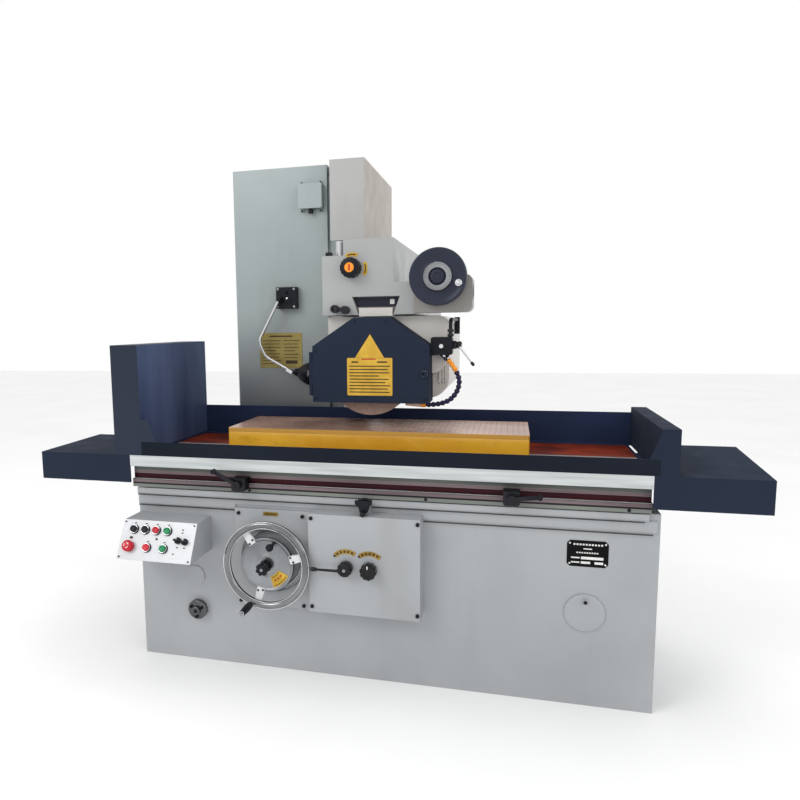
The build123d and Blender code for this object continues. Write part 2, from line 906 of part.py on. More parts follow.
bell_plane = Plane(
    (lamp_pivot_x, lamp_y, lamp_pivot_z),
    x_dir=(cos(bell_tilt * pi / 180), 0, sin(bell_tilt * pi / 180)),
    z_dir=(0, -1, 0),
)
with BuildPart() as lamp_head:
    with BuildSketch(bell_plane):
        with BuildLine():
            Polyline((9, 0), (9, 8), (15, 13), (28, 15))
            ThreePointArc((28, 15), (52, 36), (14 + bell_depth, bell_radius))
            Line((14 + bell_depth, bell_radius), (14 + bell_depth, bell_radius - bell_wall))
            ThreePointArc(
                (14 + bell_depth, bell_radius - bell_wall), (54, 33), (31, 12)
            )
            Polyline((31, 12), (31, 0), (9, 0))
        make_face()
    revolve(axis=Axis((lamp_pivot_x, lamp_y, lamp_pivot_z), bell_plane.x_dir))
    round_y(lamp_pivot_x, lamp_pivot_z, lamp_y - 7, lamp_y + 7, 8)
    with Locations(Location((lamp_pivot_x + 6, lamp_y, lamp_pivot_z - 0.5), (0, -bell_tilt, 0))):
        Box(10, 12, 11)
    round_y(lamp_pivot_x, lamp_pivot_z, lamp_y - 8, lamp_y + 8, 3 + fit, Mode.SUBTRACT)
save(lamp_head, "lamp_head")

# ---- carriage that rides up and down the column ----

nut_left = -290.0
nut_bottom = 1255.0
nut_top = 1335.0
feed_knob_x = -126.0
feed_knob_z = 1351.0
clamp_x = -149.0
clamp_z = 1208.0
eye_x = -186.0
eye_z = 1212.0
stem_depth = 18.0

with BuildPart() as carriage:
    block(carriage_left, carriage_right, carriage_front, carriage_back, carriage_bottom, carriage_top)
    block(
        carriage_left, notch_right, carriage_front, carriage_back, notch_bottom, carriage_top, Mode.SUBTRACT
    )
    block(carriage_right, flange_right, carriage_front, carriage_back, carriage_bottom, flange_top)
    block(
        carriage_left + 20,
        carriage_right - 20,
        carriage_front + 24,
        carriage_back - 20,
        slot_top + 22,
        notch_bottom - 20,
        Mode.SUBTRACT,
    )
    # dovetail slot for the wheelhead
    plate_y(
        [
            (slot_left, slot_top),
            (slot_right, slot_top),
            (slot_right - slot_flare, carriage_bottom),
            (slot_left + slot_flare, carriage_bottom),
        ],
        carriage_front,
        carriage_back,
        Mode.SUBTRACT,
    )
    # pads on the column's ways, and the nut on the elevating screw
    for y0, y1 in ((column_front + 2, column_front + 70), (column_back - 100, column_back - 32)):
        block(way_face + gap, carriage_left, y0, y1, carriage_bottom + 10, notch_bottom - 10)
    block(nut_left, carriage_left, screw_y - 28, screw_y + 28, nut_bottom, nut_top)
    round_z(screw_x, screw_y, nut_bottom, nut_top, screw_radius + fit, Mode.SUBTRACT)
    for x, z, radius in ((feed_knob_x, feed_knob_z, 8), (clamp_x, clamp_z, 6)):
        round_y(x, z, carriage_front, carriage_front + stem_depth + 2, radius + fit, Mode.SUBTRACT)
save(carriage, "carriage_casting")

cover_left = -281.0
cover_right = -144.0
cover_front = 330.0
cover_back = 945.0
cover_bottom = 1484.0
cover_top = 1790.0

with BuildPart() as way_cover:
    block(cover_left, cover_right, cover_front, cover_back, cover_bottom, cover_top)
    block(
        cover_left,
        cover_right - sheet,
        cover_front + sheet,
        cover_back - sheet,
        cover_bottom,
        cover_top - sheet,
        Mode.SUBTRACT,
    )
    block(cover_right - sheet, cover_right, cover_front, carriage_back, carriage_top, cover_bottom)
    block(notch_right, cover_right - sheet, cover_front, carriage_back, carriage_top, carriage_top + sheet)
save(way_cover, "way_cover")

housing_front = 24.0
housing_back = 132.0
housing_right = 284.0
housing_bottom = 1194.0
housing_top = 1318.0
crossfeed_boss = 64.0

with BuildPart() as gear_housing:
    plate_y(
        [
            (flange_right, housing_bottom),
            (housing_right, housing_bottom),
            (housing_right, housing_top),
            (flange_right, housing_top),
        ],
        housing_front,
        housing_back,
    )
    fillet(gear_housing.edges().filter_by(Axis.Y).group_by(Axis.X)[-1], 22)
    round_y(crossfeed_x, crossfeed_z, housing_front, housing_back, crossfeed_boss)
    round_y(crossfeed_x, crossfeed_z, housing_front, housing_back - 20, 12 + fit, Mode.SUBTRACT)
save(gear_housing, "gear_housing")

with BuildPart() as crossfeed_handwheel:
    round_y(crossfeed_x, crossfeed_z, -24, 6, crossfeed_radius)
    round_y(crossfeed_x, crossfeed_z, 6, housing_front - gap, 60)
    chamfer(crossfeed_handwheel.edges().filter_by(GeomType.CIRCLE).sort_by(Axis.Y)[0], 5)
    round_y(crossfeed_x, crossfeed_z, -34, -24, 43)
    round_y(crossfeed_x, crossfeed_z, -40, -34, 24)
    round_y(crossfeed_x, crossfeed_z, housing_front - gap, housing_back - 22, 12)
    round_y(crossfeed_x + 68, crossfeed_z - 22, -34, -24, 12)
save(crossfeed_handwheel, "crossfeed_handwheel")

with BuildPart() as feed_knob:
    round_y(feed_knob_x, feed_knob_z, -12, carriage_front - gap, 36)
    round_y(feed_knob_x, feed_knob_z, carriage_front - gap, carriage_front + stem_depth, 8)
    fillet(feed_knob.edges().filter_by(GeomType.CIRCLE).sort_by(Axis.Y)[0], 5)
save(feed_knob, "feed_knob")

clamp_front = 10.0
clamp_stem_depth = 11.0  # shorter than its bore, so it stays clear of the wheelhead's slide
with BuildPart() as clamp_lever:
    round_y(clamp_x, clamp_z, clamp_front, carriage_front - gap, 14)
    round_y(clamp_x, clamp_z, carriage_front - gap, carriage_front + clamp_stem_depth, 6)
    block(eye_x, clamp_x, clamp_front + 4, clamp_front + 18, clamp_z - 5, clamp_z + 9)
    round_y(eye_x, eye_z, clamp_front, clamp_front + 22, 14)
    round_y(eye_x, eye_z, clamp_front, clamp_front + 22, 6.5, Mode.SUBTRACT)
save(clamp_lever, "clamp_lever")

# ---- wheelhead that slides across under the carriage ----

head_left = -225.0
head_right = 205.0
head_front = 75.0
head_back = 560.0
head_bottom = 900.0
head_top = 1185.0
tongue_front = 70.0
nose_radius = 60.0
spindle_radius = 30.0
slide_gap = 0.5

with BuildPart() as wheelhead:
    block(head_left, head_right, head_front, head_back, head_bottom, head_top)
    fillet(wheelhead.edges().filter_by(Axis.Y).group_by(Axis.Z)[0], 70)
    fillet(wheelhead.edges().filter_by(Axis.Y).group_by(Axis.Z)[-1].sort_by(Axis.X)[-1], 42)
    plate_y(
        [
            (slot_left + slide_gap + 1, slot_top - slide_gap),
            (slot_right - slide_gap - 1, slot_top - slide_gap),
            (slot_right - slot_flare - 2, head_top),
            (slot_left + slot_flare + 2, head_top),
        ],
        tongue_front,
        head_back,
    )
    block(slot_left + slot_flare + 2, slot_right - slot_flare - 2, 34, tongue_front, head_top, 1214)
    for x0, x1, z0, z1 in (
        (head_left + 20, head_right - 20, 1080, 1162),
        (head_left + 20, spindle_x - 75, 985, 1060),
        (spindle_x + 75, head_right - 20, 985, 1060),
    ):
        block(x0, x1, head_front + 20, head_back - 20, z0, z1, Mode.SUBTRACT)
    round_y(spindle_x, spindle_z, guard_back - 8, head_front, nose_radius)
    round_y(spindle_x, spindle_z, guard_back - 8, head_back, spindle_radius + fit, Mode.SUBTRACT)
save(wheelhead, "wheelhead_casting")

motor_back = 812.0
with BuildPart() as motor:
    round_y(spindle_x, spindle_z, head_back, head_back + 14, 120)
    round_y(spindle_x, spindle_z, head_back + 14, motor_back, 108)
    block(spindle_x - 50, spindle_x + 50, head_back + 60, head_back + 160, spindle_z, spindle_z + 145)
save(motor, "spindle_motor")

flange_radius = 82.0
wheel_bore = 63.5
wheel_front = wheel_middle_y - wheel_width / 2
wheel_back = wheel_middle_y + wheel_width / 2
nose_shaft = 25.0

with BuildPart() as spindle:
    round_y(spindle_x, spindle_z, guard_back - 9, head_back - 1, spindle_radius)
    round_y(spindle_x, spindle_z, wheel_front - 24, guard_back - 9, nose_shaft)
save(spindle, "spindle")

with BuildPart() as flanges:
    round_y(spindle_x, spindle_z, wheel_back, wheel_back + 12, flange_radius)
    round_y(spindle_x, spindle_z, wheel_front, wheel_back, wheel_bore - fit)
    round_y(spindle_x, spindle_z, wheel_front - 12, wheel_front - 0.2, flange_radius)
    round_y(spindle_x, spindle_z, wheel_front - 12, wheel_back + 12, nose_shaft + fit, Mode.SUBTRACT)
save(flanges, "wheel_flanges")

with BuildPart() as wheel:
    round_y(spindle_x, spindle_z, wheel_front, wheel_back, wheel_radius)
    round_y(spindle_x, spindle_z, wheel_front, wheel_back, wheel_bore, Mode.SUBTRACT)
save(wheel, "grinding_wheel")

# ---- wheel guard and its hinged front door ----

guard_wall = 6.0
door_thick = 5.5
hinge_x = -258.0
hinge_y = -43.0
knuckle_radius = 6.0
hinge_pin = 3.0
guard_outline = [
    (guard_left, guard_bottom),
    (guard_left, guard_shoulder),
    (plateau_left, guard_top),
    (plateau_right, guard_top),
    (guard_right, guard_shoulder),
    (guard_right, guard_bottom),
]

with BuildPart() as guard:
    with BuildSketch(Plane((0, guard_back, 0), x_dir=(1, 0, 0), z_dir=(0, -1, 0))):
        with BuildLine():
            Polyline(*guard_outline, close=True)
        make_face()
    extrude(amount=guard_back - guard_front - guard_wall)
    with BuildSketch(Plane((0, guard_back - 8, 0), x_dir=(1, 0, 0), z_dir=(0, -1, 0))):
        with BuildLine():
            Polyline(*guard_outline, close=True)
        make_face()
        offset(amount=-guard_wall, kind=Kind.INTERSECTION, mode=Mode.REPLACE)
    extrude(amount=guard_back - guard_front, mode=Mode.SUBTRACT)
    block(
        guard_left + guard_wall,
        guard_right - guard_wall,
        guard_front,
        guard_back - 8,
        guard_bottom,
        guard_bottom + 2 * guard_wall,
        Mode.SUBTRACT,
    )
    round_y(spindle_x, spindle_z, guard_back - 8, guard_back, nose_radius + fit, Mode.SUBTRACT)
    for z0, z1 in ((915, 949.5), (1030.5, 1065)):
        round_z(hinge_x, hinge_y, z0, z1, knuckle_radius)
        block(hinge_x, guard_left, hinge_y, hinge_y + knuckle_radius, z0, z1)
    round_z(hinge_x, hinge_y, 915, 1065, hinge_pin)
save(guard, "wheel_guard")

with BuildPart() as door:
    plate_y(guard_outline, guard_front, guard_front + door_thick)
    door_back = guard_front + door_thick
    block(guard_left, guard_left + 1, guard_front, door_back, guard_bottom, guard_top, Mode.SUBTRACT)
    round_z(hinge_x, hinge_y, 950, 1030, knuckle_radius)
    block(hinge_x, guard_left + 2, guard_front, guard_front + door_thick, 950, 1030)
    round_z(hinge_x, hinge_y, 950, 1030, hinge_pin + fit, Mode.SUBTRACT)
    round_y(guard_right - 14, 992, guard_front - 12, guard_front, 11)
save(door, "guard_door")

# ---- coolant valve, its lever, the jointed hose and its nozzle ----

valve_y = 22.0
valve_right = 222.0
valve_bottom = 1052.0
valve_top = 1112.0
valve_stem_z = 1085.0
pipe_x = 214.0
pipe_end = 300.0
pipe_z = 1170.0
outlet = (206.0, valve_y, 1036.0)
outlet_angle = -50.0
hose_radius = 9.0
hose_turn = 130.0 / 3
hose_runs = (62.0, 62.0, 66.0, 62.0)
nozzle_length = 70.0

with BuildPart() as coolant_valve:
    block(guard_right, valve_right, 0, 44, valve_bottom, valve_top)
    fillet(coolant_valve.edges().filter_by(Axis.Y), 8)
    round_x(valve_y, valve_stem_z, valve_right, valve_right + 16, 11)
    round_x(valve_y, valve_stem_z, valve_right + 16, valve_right + 30, 5)
    # outlet boss towards the hose
    with BuildSketch(
        Plane(outlet, z_dir=(-cos(outlet_angle * pi / 180), 0, -sin(outlet_angle * pi / 180)))
    ):
        Circle(11)
    extrude(amount=34)
    # supply pipe, up and then back along the wheelhead
    with BuildLine() as pipe_path:
        FilletPolyline(
            (pipe_x, valve_y, valve_top - 10),
            (pipe_x, valve_y, pipe_z),
            (pipe_x, pipe_end, pipe_z),
            radius=22,
        )
    with BuildSketch(Plane(pipe_path.line @ 0, z_dir=pipe_path.line % 0)):
        Circle(6)
    sweep(path=pipe_path.line)
    # union that holds the pipe's end against the wheelhead's side
    block(head_right, pipe_x + 10, pipe_end - 14, pipe_end + 6, pipe_z - 52, pipe_z + 10)
save(coolant_valve, "coolant_valve")

with BuildPart() as valve_lever:
    round_x(valve_y, valve_stem_z, valve_right + 17, valve_right + 29, 12)
    with BuildLine() as handle_path:
        Line((valve_right + 23, valve_y - 6, valve_stem_z - 6), (290, valve_y - 14, 1020))
    with BuildSketch(Plane(handle_path.line @ 0, z_dir=handle_path.line % 0)):
        Circle(3.5)
    sweep(path=handle_path.line)
    with Locations((290, valve_y - 14, 1020)):
        Sphere(5.5)
    round_x(valve_y, valve_stem_z, valve_right + 17, valve_right + 30, 5 + fit, Mode.SUBTRACT)
save(valve_lever, "valve_lever")

hose_points = [Vector(*outlet)]
heading = outlet_angle
for run in hose_runs:
    step = Vector(cos(heading * pi / 180), 0, sin(heading * pi / 180)) * run
    hose_points.append(hose_points[-1] + step)
    heading -= hose_turn
hose_radii = [
    0.45 * min(before, after) / sin(hose_turn / 2 * pi / 180) * cos(hose_turn / 2 * pi / 180)
    for before, after in zip(hose_runs, hose_runs[1:])
]
print("coolant hose arc radii:", [round(radius, 1) for radius in hose_radii])

with BuildPart() as coolant_hose:
    with BuildLine() as hose_path:
        FilletPolyline(*hose_points, radius=hose_radii)
    with BuildSketch(Plane(hose_path.line @ 0, z_dir=hose_path.line % 0)):
        Circle(hose_radius)
    sweep(path=hose_path.line)
save(coolant_hose, "coolant_hose")

nozzle_start = hose_points[-1]
with BuildPart() as nozzle:
    with BuildSketch(Plane(nozzle_start, z_dir=(-1, 0, 0))):
        Circle(hose_radius)
    with BuildSketch(Plane(nozzle_start + Vector(-nozzle_length, 0, 0), z_dir=(-1, 0, 0))):
        Circle(4.5)
    loft()
    nozzle_tip = nozzle_start.X - nozzle_length
    round_x(nozzle_start.Y, nozzle_start.Z, nozzle_tip, nozzle_start.X, 3, Mode.SUBTRACT)
save(nozzle, "coolant_nozzle")
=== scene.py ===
import bmesh
import bpy
from math import cos, pi, radians, sin
from mathutils import Matrix, Vector


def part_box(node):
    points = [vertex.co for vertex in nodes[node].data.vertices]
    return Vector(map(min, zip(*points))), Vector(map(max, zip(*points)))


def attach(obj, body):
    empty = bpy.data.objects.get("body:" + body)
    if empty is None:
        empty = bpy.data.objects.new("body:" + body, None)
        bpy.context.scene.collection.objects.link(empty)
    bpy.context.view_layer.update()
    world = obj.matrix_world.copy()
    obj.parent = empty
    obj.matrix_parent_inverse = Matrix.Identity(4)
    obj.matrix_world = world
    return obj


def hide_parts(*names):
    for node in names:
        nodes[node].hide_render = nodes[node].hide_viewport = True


MM = 0.001  # outlines, profiles, thicknesses and screw sizes below are in millimetres
EVEN = (1.0, 1.0, 1.0)
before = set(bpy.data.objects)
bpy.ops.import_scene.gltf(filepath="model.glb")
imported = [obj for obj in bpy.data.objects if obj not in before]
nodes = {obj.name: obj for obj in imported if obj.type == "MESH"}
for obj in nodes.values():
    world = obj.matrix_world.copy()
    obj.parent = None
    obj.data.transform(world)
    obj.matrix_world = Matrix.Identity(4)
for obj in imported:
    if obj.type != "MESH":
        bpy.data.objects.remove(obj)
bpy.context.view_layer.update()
scene = bpy.context.scene

# ---- camera ----

camera_data = bpy.data.cameras.new("camera")
camera_data.lens = 30.55
camera_data.sensor_width = 36.0
camera_data.shift_x = 0.0885
camera_data.shift_y = 0.0132
camera_data.clip_end = 60.0
camera = bpy.data.objects.new("camera", camera_data)
scene.collection.objects.link(camera)
yaw, pitch, roll = 0.26416, -0.12495, -0.01415
forward = Vector((-sin(yaw) * cos(pitch), cos(yaw) * cos(pitch), sin(pitch)))
right = Vector((cos(yaw), sin(yaw), 0.0))
up = right.cross(forward)
tilted_right = cos(roll) * right + sin(roll) * up
tilted_up = cos(roll) * up - sin(roll) * right
turn = Matrix((tilted_right, tilted_up, -forward)).transposed().to_4x4()
camera_place = (0.4158, -2.2984, 1.1562)
camera.matrix_world = Matrix.Translation(camera_place) @ turn
scene.camera = camera

# ---- coolant hose: a segmented hose from the valve to the wheel ----

hose_points = [
    (0.2060, 0.0220, 1.0360),
    (0.2459, 0.0220, 0.9885),
    (0.2422, 0.0220, 0.9266),
    (0.1942, 0.0220, 0.8813),
    (0.1322, 0.0220, 0.8813),
]


def spline_curve(name, points):
    """A curve of one open, smooth NURBS spline."""
    data = bpy.data.curves.new(name, "CURVE")
    data.dimensions = "3D"
    data.resolution_u = 24
    spline = data.splines.new("NURBS")
    spline.points.add(len(points) - 1)
    for point, place in zip(spline.points, points):
        point.co = (*place, 1.0)
    spline.order_u = 3
    spline.use_endpoint_u = True
    obj = bpy.data.objects.new(name, data)
    scene.collection.objects.link(obj)
    return obj


def line_of(curve):
    """The points of a curve's own line."""
    mesh = bpy.data.meshes.new_from_object(curve)
    points = [curve.matrix_world @ v.co for v in mesh.vertices]
    bpy.data.meshes.remove(mesh)
    return points


def lengths_along(points):
    """How far along the line each point is."""
    total = [0.0]
    for a, b in zip(points, points[1:]):
        total.append(total[-1] + (b - a).length)
    return total


def point_at(points, total, distance):
    """The place and direction at a distance along the line."""
    distance = min(max(distance, 0.0), total[-1])
    for k in range(len(points) - 1):
        if distance <= total[k + 1]:
            part = (distance - total[k]) / (total[k + 1] - total[k])
            return points[k].lerp(points[k + 1], part), (points[k + 1] - points[k]).normalized()
    return points[-1], (points[-1] - points[-2]).normalized()

# ---- materials ----


def rgb(red, green, blue):
    """A screen colour, 0 to 255, as Blender's linear colour."""
    linear = []
    for part in (red, green, blue):
        v = part / 255.0
        linear.append(v / 12.92 if v <= 0.04045 else ((v + 0.055) / 1.055) ** 2.4)
    return (*linear, 1.0)


def constants(node, **values):
    """Set constants on a shader node's sockets; an underscore stands for a space."""
    for name, value in values.items():
        node.inputs[name.replace("_", " ")].default_value = value
    return node


def new_material(name, roughness=0.5, metallic=0.0, specular=0.5, coat=0.0):
    material = bpy.data.materials.new(name)
    material.use_nodes = True
    tree = material.node_tree
    surface = tree.nodes["Principled BSDF"]
    constants(surface, Roughness=roughness, Metallic=metallic, Specular_IOR_Level=specular)
    constants(surface, Coat_Weight=coat, Coat_Roughness=0.12)
    return material, tree, surface


def place_of(tree, stretch=EVEN):
    coordinates = tree.nodes.new("ShaderNodeTexCoord")
    mapping = constants(tree.nodes.new("ShaderNodeMapping"), Scale=stretch)
    tree.links.new(coordinates.outputs["Object"], mapping.inputs["Vector"])
    return mapping.outputs["Vector"]


def noise(tree, scale, detail=3.0, stretch=EVEN):
    texture = constants(tree.nodes.new("ShaderNodeTexNoise"), Scale=scale, Detail=detail)
    tree.links.new(place_of(tree, stretch), texture.inputs["Vector"])
    return texture.outputs["Fac"]


def voronoi(tree, scale):
    texture = constants(tree.nodes.new("ShaderNodeTexVoronoi"), Scale=scale)
    tree.links.new(place_of(tree), texture.inputs["Vector"])
    return texture.outputs["Distance"]


def spread(tree, value, low, high, out_low=0.0, out_high=1.0):
    """The value between low and high, spread over out_low to out_high and clamped."""
    node = constants(tree.nodes.new("ShaderNodeMapRange"), From_Min=low, From_Max=high)
    constants(node, To_Min=out_low, To_Max=out_high)
    tree.links.new(value, node.inputs["Value"])
    return node.outputs["Result"]


def maths(tree, kind, a, b=None):
    node = tree.nodes.new("ShaderNodeMath")
    node.operation = kind
    for socket, value in zip(node.inputs, (a, b)):
        if isinstance(value, float):
            socket.default_value = value
        elif value is not None:
            tree.links.new(value, socket)
    return node.outputs["Value"]


def blend_colours(tree, factor, first, second):
    node = tree.nodes.new("ShaderNodeMix")
    node.data_type = "RGBA"
    sockets = [s for s in node.inputs if s.type == "RGBA"]
    for socket, value in zip(sockets, (first, second)):
        if isinstance(value, tuple):
            socket.default_value = value
        else:
            tree.links.new(value, socket)
    tree.links.new(factor, node.inputs[0])
    return [s for s in node.outputs if s.type == "RGBA"][0]


def mottle(tree, scale, detail, first, second, stretch=EVEN, low=0.3, high=0.7):
    """Two colours blended by noise between low and high."""
    share = spread(tree, noise(tree, scale, detail, stretch), low, high)
    return blend_colours(tree, share, first, second)


def parts_of(material):
    """A finish's tree, its surface, and what feeds the colour so far."""
    tree = material.node_tree
    surface = tree.nodes["Principled BSDF"]
    return tree, surface, surface.inputs["Base Color"].links[0].from_socket


def feed(tree, surface, colour, roughness=None):
    """Connect a finish's colour, and its roughness if one is given."""
    tree.links.new(colour, surface.inputs["Base Color"])
    if roughness is not None:
        tree.links.new(roughness, surface.inputs["Roughness"])


def relief(tree, surface, height, strength, distance, edge=0.0):
    """A bump from height, on edges rounded in the shading by edge metres."""
    node = constants(tree.nodes.new("ShaderNodeBump"), Strength=strength, Distance=distance)
    tree.links.new(height, node.inputs["Height"])
    if edge:
        rounded = constants(tree.nodes.new("ShaderNodeBevel"), Radius=edge)
        rounded.samples = 4
        tree.links.new(rounded.outputs["Normal"], node.inputs["Normal"])
    tree.links.new(node.outputs["Normal"], surface.inputs["Normal"])


def coordinate(tree, axis):
    """One of the object's own coordinates, in metres."""
    node = tree.nodes.new("ShaderNodeSeparateXYZ")
    tree.links.new(place_of(tree), node.inputs["Vector"])
    return node.outputs[axis]


def facing(tree, axis):
    """How far a surface faces along an axis of its own object, -1 to 1."""
    node = tree.nodes.new("ShaderNodeSeparateXYZ")
    coordinates = tree.nodes.new("ShaderNodeTexCoord")
    tree.links.new(coordinates.outputs["Normal"], node.inputs["Vector"])
    return node.outputs[axis]


def paint(name, colour, shade, roughness=0.42, peel=0.12, edge=0.0018, coat=0.15, grime=0.35):
    """Sprayed enamel: slow colour drift, orange peel, and a little grime in upright streaks."""
    material, tree, surface = new_material(name, roughness, coat=coat)
    base = mottle(tree, 2.2, 4.0, colour, shade, low=0.35)
    streaks = spread(tree, noise(tree, 9.0, 5.0, (1.0, 1.0, 0.16)), 0.56, 0.85, 0.0, grime)
    dirty = tuple(c * f for c, f in zip(shade[:3], (0.72, 0.68, 0.6))) + (1.0,)
    worn = spread(tree, noise(tree, 14.0, 4.0), 0.3, 0.75, roughness - 0.08, roughness + 0.1)
    feed(tree, surface, blend_colours(tree, streaks, base, dirty), worn)
    relief(tree, surface, noise(tree, 260.0, 2.0), peel, 0.0006, edge)
    return material


def metal(name, colour, shade, roughness=0.3, scratch=EVEN, scale=160.0, edge=0.0):
    """Machined or plated metal with fine tool marks along one direction."""
    material, tree, surface = new_material(name, roughness, metallic=1.0)
    stained = mottle(tree, 7.0, 4.0, colour, shade, low=0.35, high=0.75)
    tooling = noise(tree, scale, 3.0, scratch)
    feed(tree, surface, stained, spread(tree, tooling, 0.3, 0.7, roughness - 0.07, roughness + 0.13))
    relief(tree, surface, tooling, 0.12, 0.0004, edge)
    return material


def plastic(name, colour, shade, roughness=0.38, grain=0.1, scale=700.0):
    """Moulded plastic: a fine skin grain and faint flow marks."""
    material, tree, surface = new_material(name, roughness, specular=0.3)
    flow = mottle(tree, 30.0, 3.0, colour, shade, low=0.35)
    skin = noise(tree, scale, 2.0)
    feed(tree, surface, flow, spread(tree, skin, 0.3, 0.7, roughness - 0.05, roughness + 0.12))
    relief(tree, surface, skin, grain, 0.0003)
    return material

# ---- finishes of the CAD pieces ----


def give(material, *names):
    """Put one material on these CAD nodes."""
    for name in names:
        slots = nodes[name].data.materials
        slots.clear()
        slots.append(material)


def within(tree, value, low, high, soft=0.0006):
    """1 where the value lies between low and high, with narrow soft edges."""
    rise = spread(tree, value, low - soft, low + soft)
    fall = spread(tree, value, high - soft, high + soft, 1.0, 0.0)
    return maths(tree, "MULTIPLY", rise, fall)


def product(tree, *values):
    result = values[0]
    for value in values[1:]:
        result = maths(tree, "MULTIPLY", result, value)
    return result


def band(tree, shade, height, low, high, mask, first, second):
    """Paint one lengthwise band of the table's front between two heights."""
    inside = product(tree, mask, within(tree, height, low, high))
    return blend_colours(tree, inside, shade, mottle(tree, 24.0, 4.0, first, second, (0.12, 1.0, 1.0)))


def make_table_finish():
    """Ground table: oiled orange-brown deck, and a front rail painted in lengthwise bands of painted shade
    and painted highlight.
    """
    material, tree, surface = new_material("table finish", 0.4, specular=0.1)
    height = coordinate(tree, "Z")
    upward = spread(tree, facing(tree, "Z"), 0.5, 0.8)
    forward = spread(tree, facing(tree, "Y"), -0.5, -0.8)
    grain = noise(tree, 90.0, 4.0, (0.05, 1.0, 1.0))
    shade = blend_colours(tree, spread(tree, grain, 0.3, 0.7), rgb(196, 200, 200), rgb(170, 175, 176))
    oil = mottle(tree, 12.0, 5.0, rgb(126, 46, 20), rgb(68, 25, 16), low=0.35)
    shade = blend_colours(tree, product(tree, upward, within(tree, height, 0.722, 0.726)), shade, oil)
    # bands up the rail's front: grey, a dark line of painted shade, purple-grey, the groove's dark red
    # painted shade, a purple-grey painted highlight, and a grey band of painted shadow under the upper
    # strip
    for low, high, first, second in (
        (0.6000, 0.6225, rgb(124, 128, 122), rgb(104, 108, 104)),
        (0.6225, 0.6295, rgb(48, 40, 42), rgb(30, 26, 28)),
        (0.6295, 0.6380, rgb(118, 104, 108), rgb(92, 78, 82)),
        (0.6380, 0.6583, rgb(58, 18, 26), rgb(36, 12, 18)),
        (0.6583, 0.6677, rgb(130, 112, 116), rgb(96, 82, 86)),
        (0.6677, 0.6830, rgb(106, 110, 104), rgb(80, 82, 80)),
    ):
        shade = band(tree, shade, height, low, high, forward, first, second)
    feed(tree, surface, shade, spread(tree, grain, 0.3, 0.7, 0.28, 0.44))
    relief(tree, surface, grain, 0.08, 0.0004, 0.0012)
    return material


def make_chuck_finish():
    """Cast resin and enamel in ochre, glossy, with darker runs and a little mottling."""
    material, tree, surface = new_material("chuck ochre", 0.22, coat=0.5)
    base = mottle(tree, 3.2, 5.0, rgb(228, 178, 54), rgb(200, 142, 34), (1.0, 1.0, 2.0), high=0.72)
    fleck = spread(tree, noise(tree, 46.0, 5.0, (0.4, 1.0, 1.0)), 0.55, 0.8, 0.0, 0.5)
    gloss = spread(tree, noise(tree, 18.0, 4.0), 0.3, 0.7, 0.16, 0.34)
    feed(tree, surface, blend_colours(tree, fleck, base, rgb(172, 116, 28)), gloss)
    relief(tree, surface, noise(tree, 60.0, 3.0), 0.12, 0.0006, 0.002)
    return material


def make_chuck_top():
    """Ground pole face: thin crosswise laminations, a film of brown oil, ochre edges."""
    material, tree, surface = new_material("chuck face", 0.26)
    across = coordinate(tree, "X")
    upward = spread(tree, facing(tree, "Z"), 0.5, 0.8)
    saw = maths(tree, "FRACT", maths(tree, "MULTIPLY", across, 1.0 / 0.018))
    gap = within(tree, saw, 0.40, 0.52, 0.02)
    rim = within(tree, coordinate(tree, "Y"), -0.132, 0.132)
    steel = mottle(tree, 5.0, 5.0, rgb(186, 146, 126), rgb(140, 104, 88), (1.0, 1.6, 1.0), 0.35, 0.68)
    poles = blend_colours(tree, product(tree, gap, rim), steel, rgb(96, 70, 48))
    tree.links.new(spread(tree, upward, 0.0, 1.0, 0.0, 0.45), surface.inputs["Metallic"])
    grind = noise(tree, 300.0, 3.0, (0.06, 1.0, 1.0))
    face = blend_colours(tree, upward, rgb(182, 134, 42), poles)
    feed(tree, surface, face, spread(tree, grind, 0.3, 0.7, 0.2, 0.36))
    relief(tree, surface, grind, 0.1, 0.0003, 0.001)
    return material


def make_wheel_finish():
    """Vitrified abrasive: pink-brown grit with open pores."""
    material, tree, surface = new_material("abrasive", 0.85, specular=0.25)
    grit = voronoi(tree, 900.0)
    base = mottle(tree, 60.0, 5.0, rgb(150, 126, 114), rgb(122, 98, 88))
    feed(tree, surface, blend_colours(tree, spread(tree, grit, 0.25, 0.6), rgb(170, 150, 140), base))
    relief(tree, surface, grit, 0.5, 0.0008)
    return material


def make_cover_paint():
    """Way cover: the carriage's grey, with painted shade making the sides darker and warmer."""
    material = paint("cover paint", rgb(170, 170, 170), rgb(160, 160, 159))
    tree, surface, plain = parts_of(material)
    side = spread(tree, facing(tree, "X"), 0.5, 0.9)
    shaded_side_grey = mottle(tree, 3.0, 3.0, rgb(160, 152, 143), rgb(150, 141, 131))
    feed(tree, surface, blend_colours(tree, side, plain, shaded_side_grey))
    return material


def shaded_low(material, low, high, tint):
    """Darken a painted casting towards its foot: painted shade where the table and guard shadow it."""
    tree, surface, clean = parts_of(material)
    wander = spread(tree, noise(tree, 4.0, 4.0, (1.0, 1.0, 0.3)), 0.3, 0.7, -0.05, 0.05)
    level = maths(tree, "ADD", coordinate(tree, "Z"), wander)
    feed(tree, surface, blend_colours(tree, spread(tree, level, low, high), tint, clean))


def matte(material, level, tint):
    """Turn down the sheen of a finish."""
    surface = material.node_tree.nodes["Principled BSDF"]
    constants(surface, Specular_IOR_Level=level, Specular_Tint=tint)
    return material


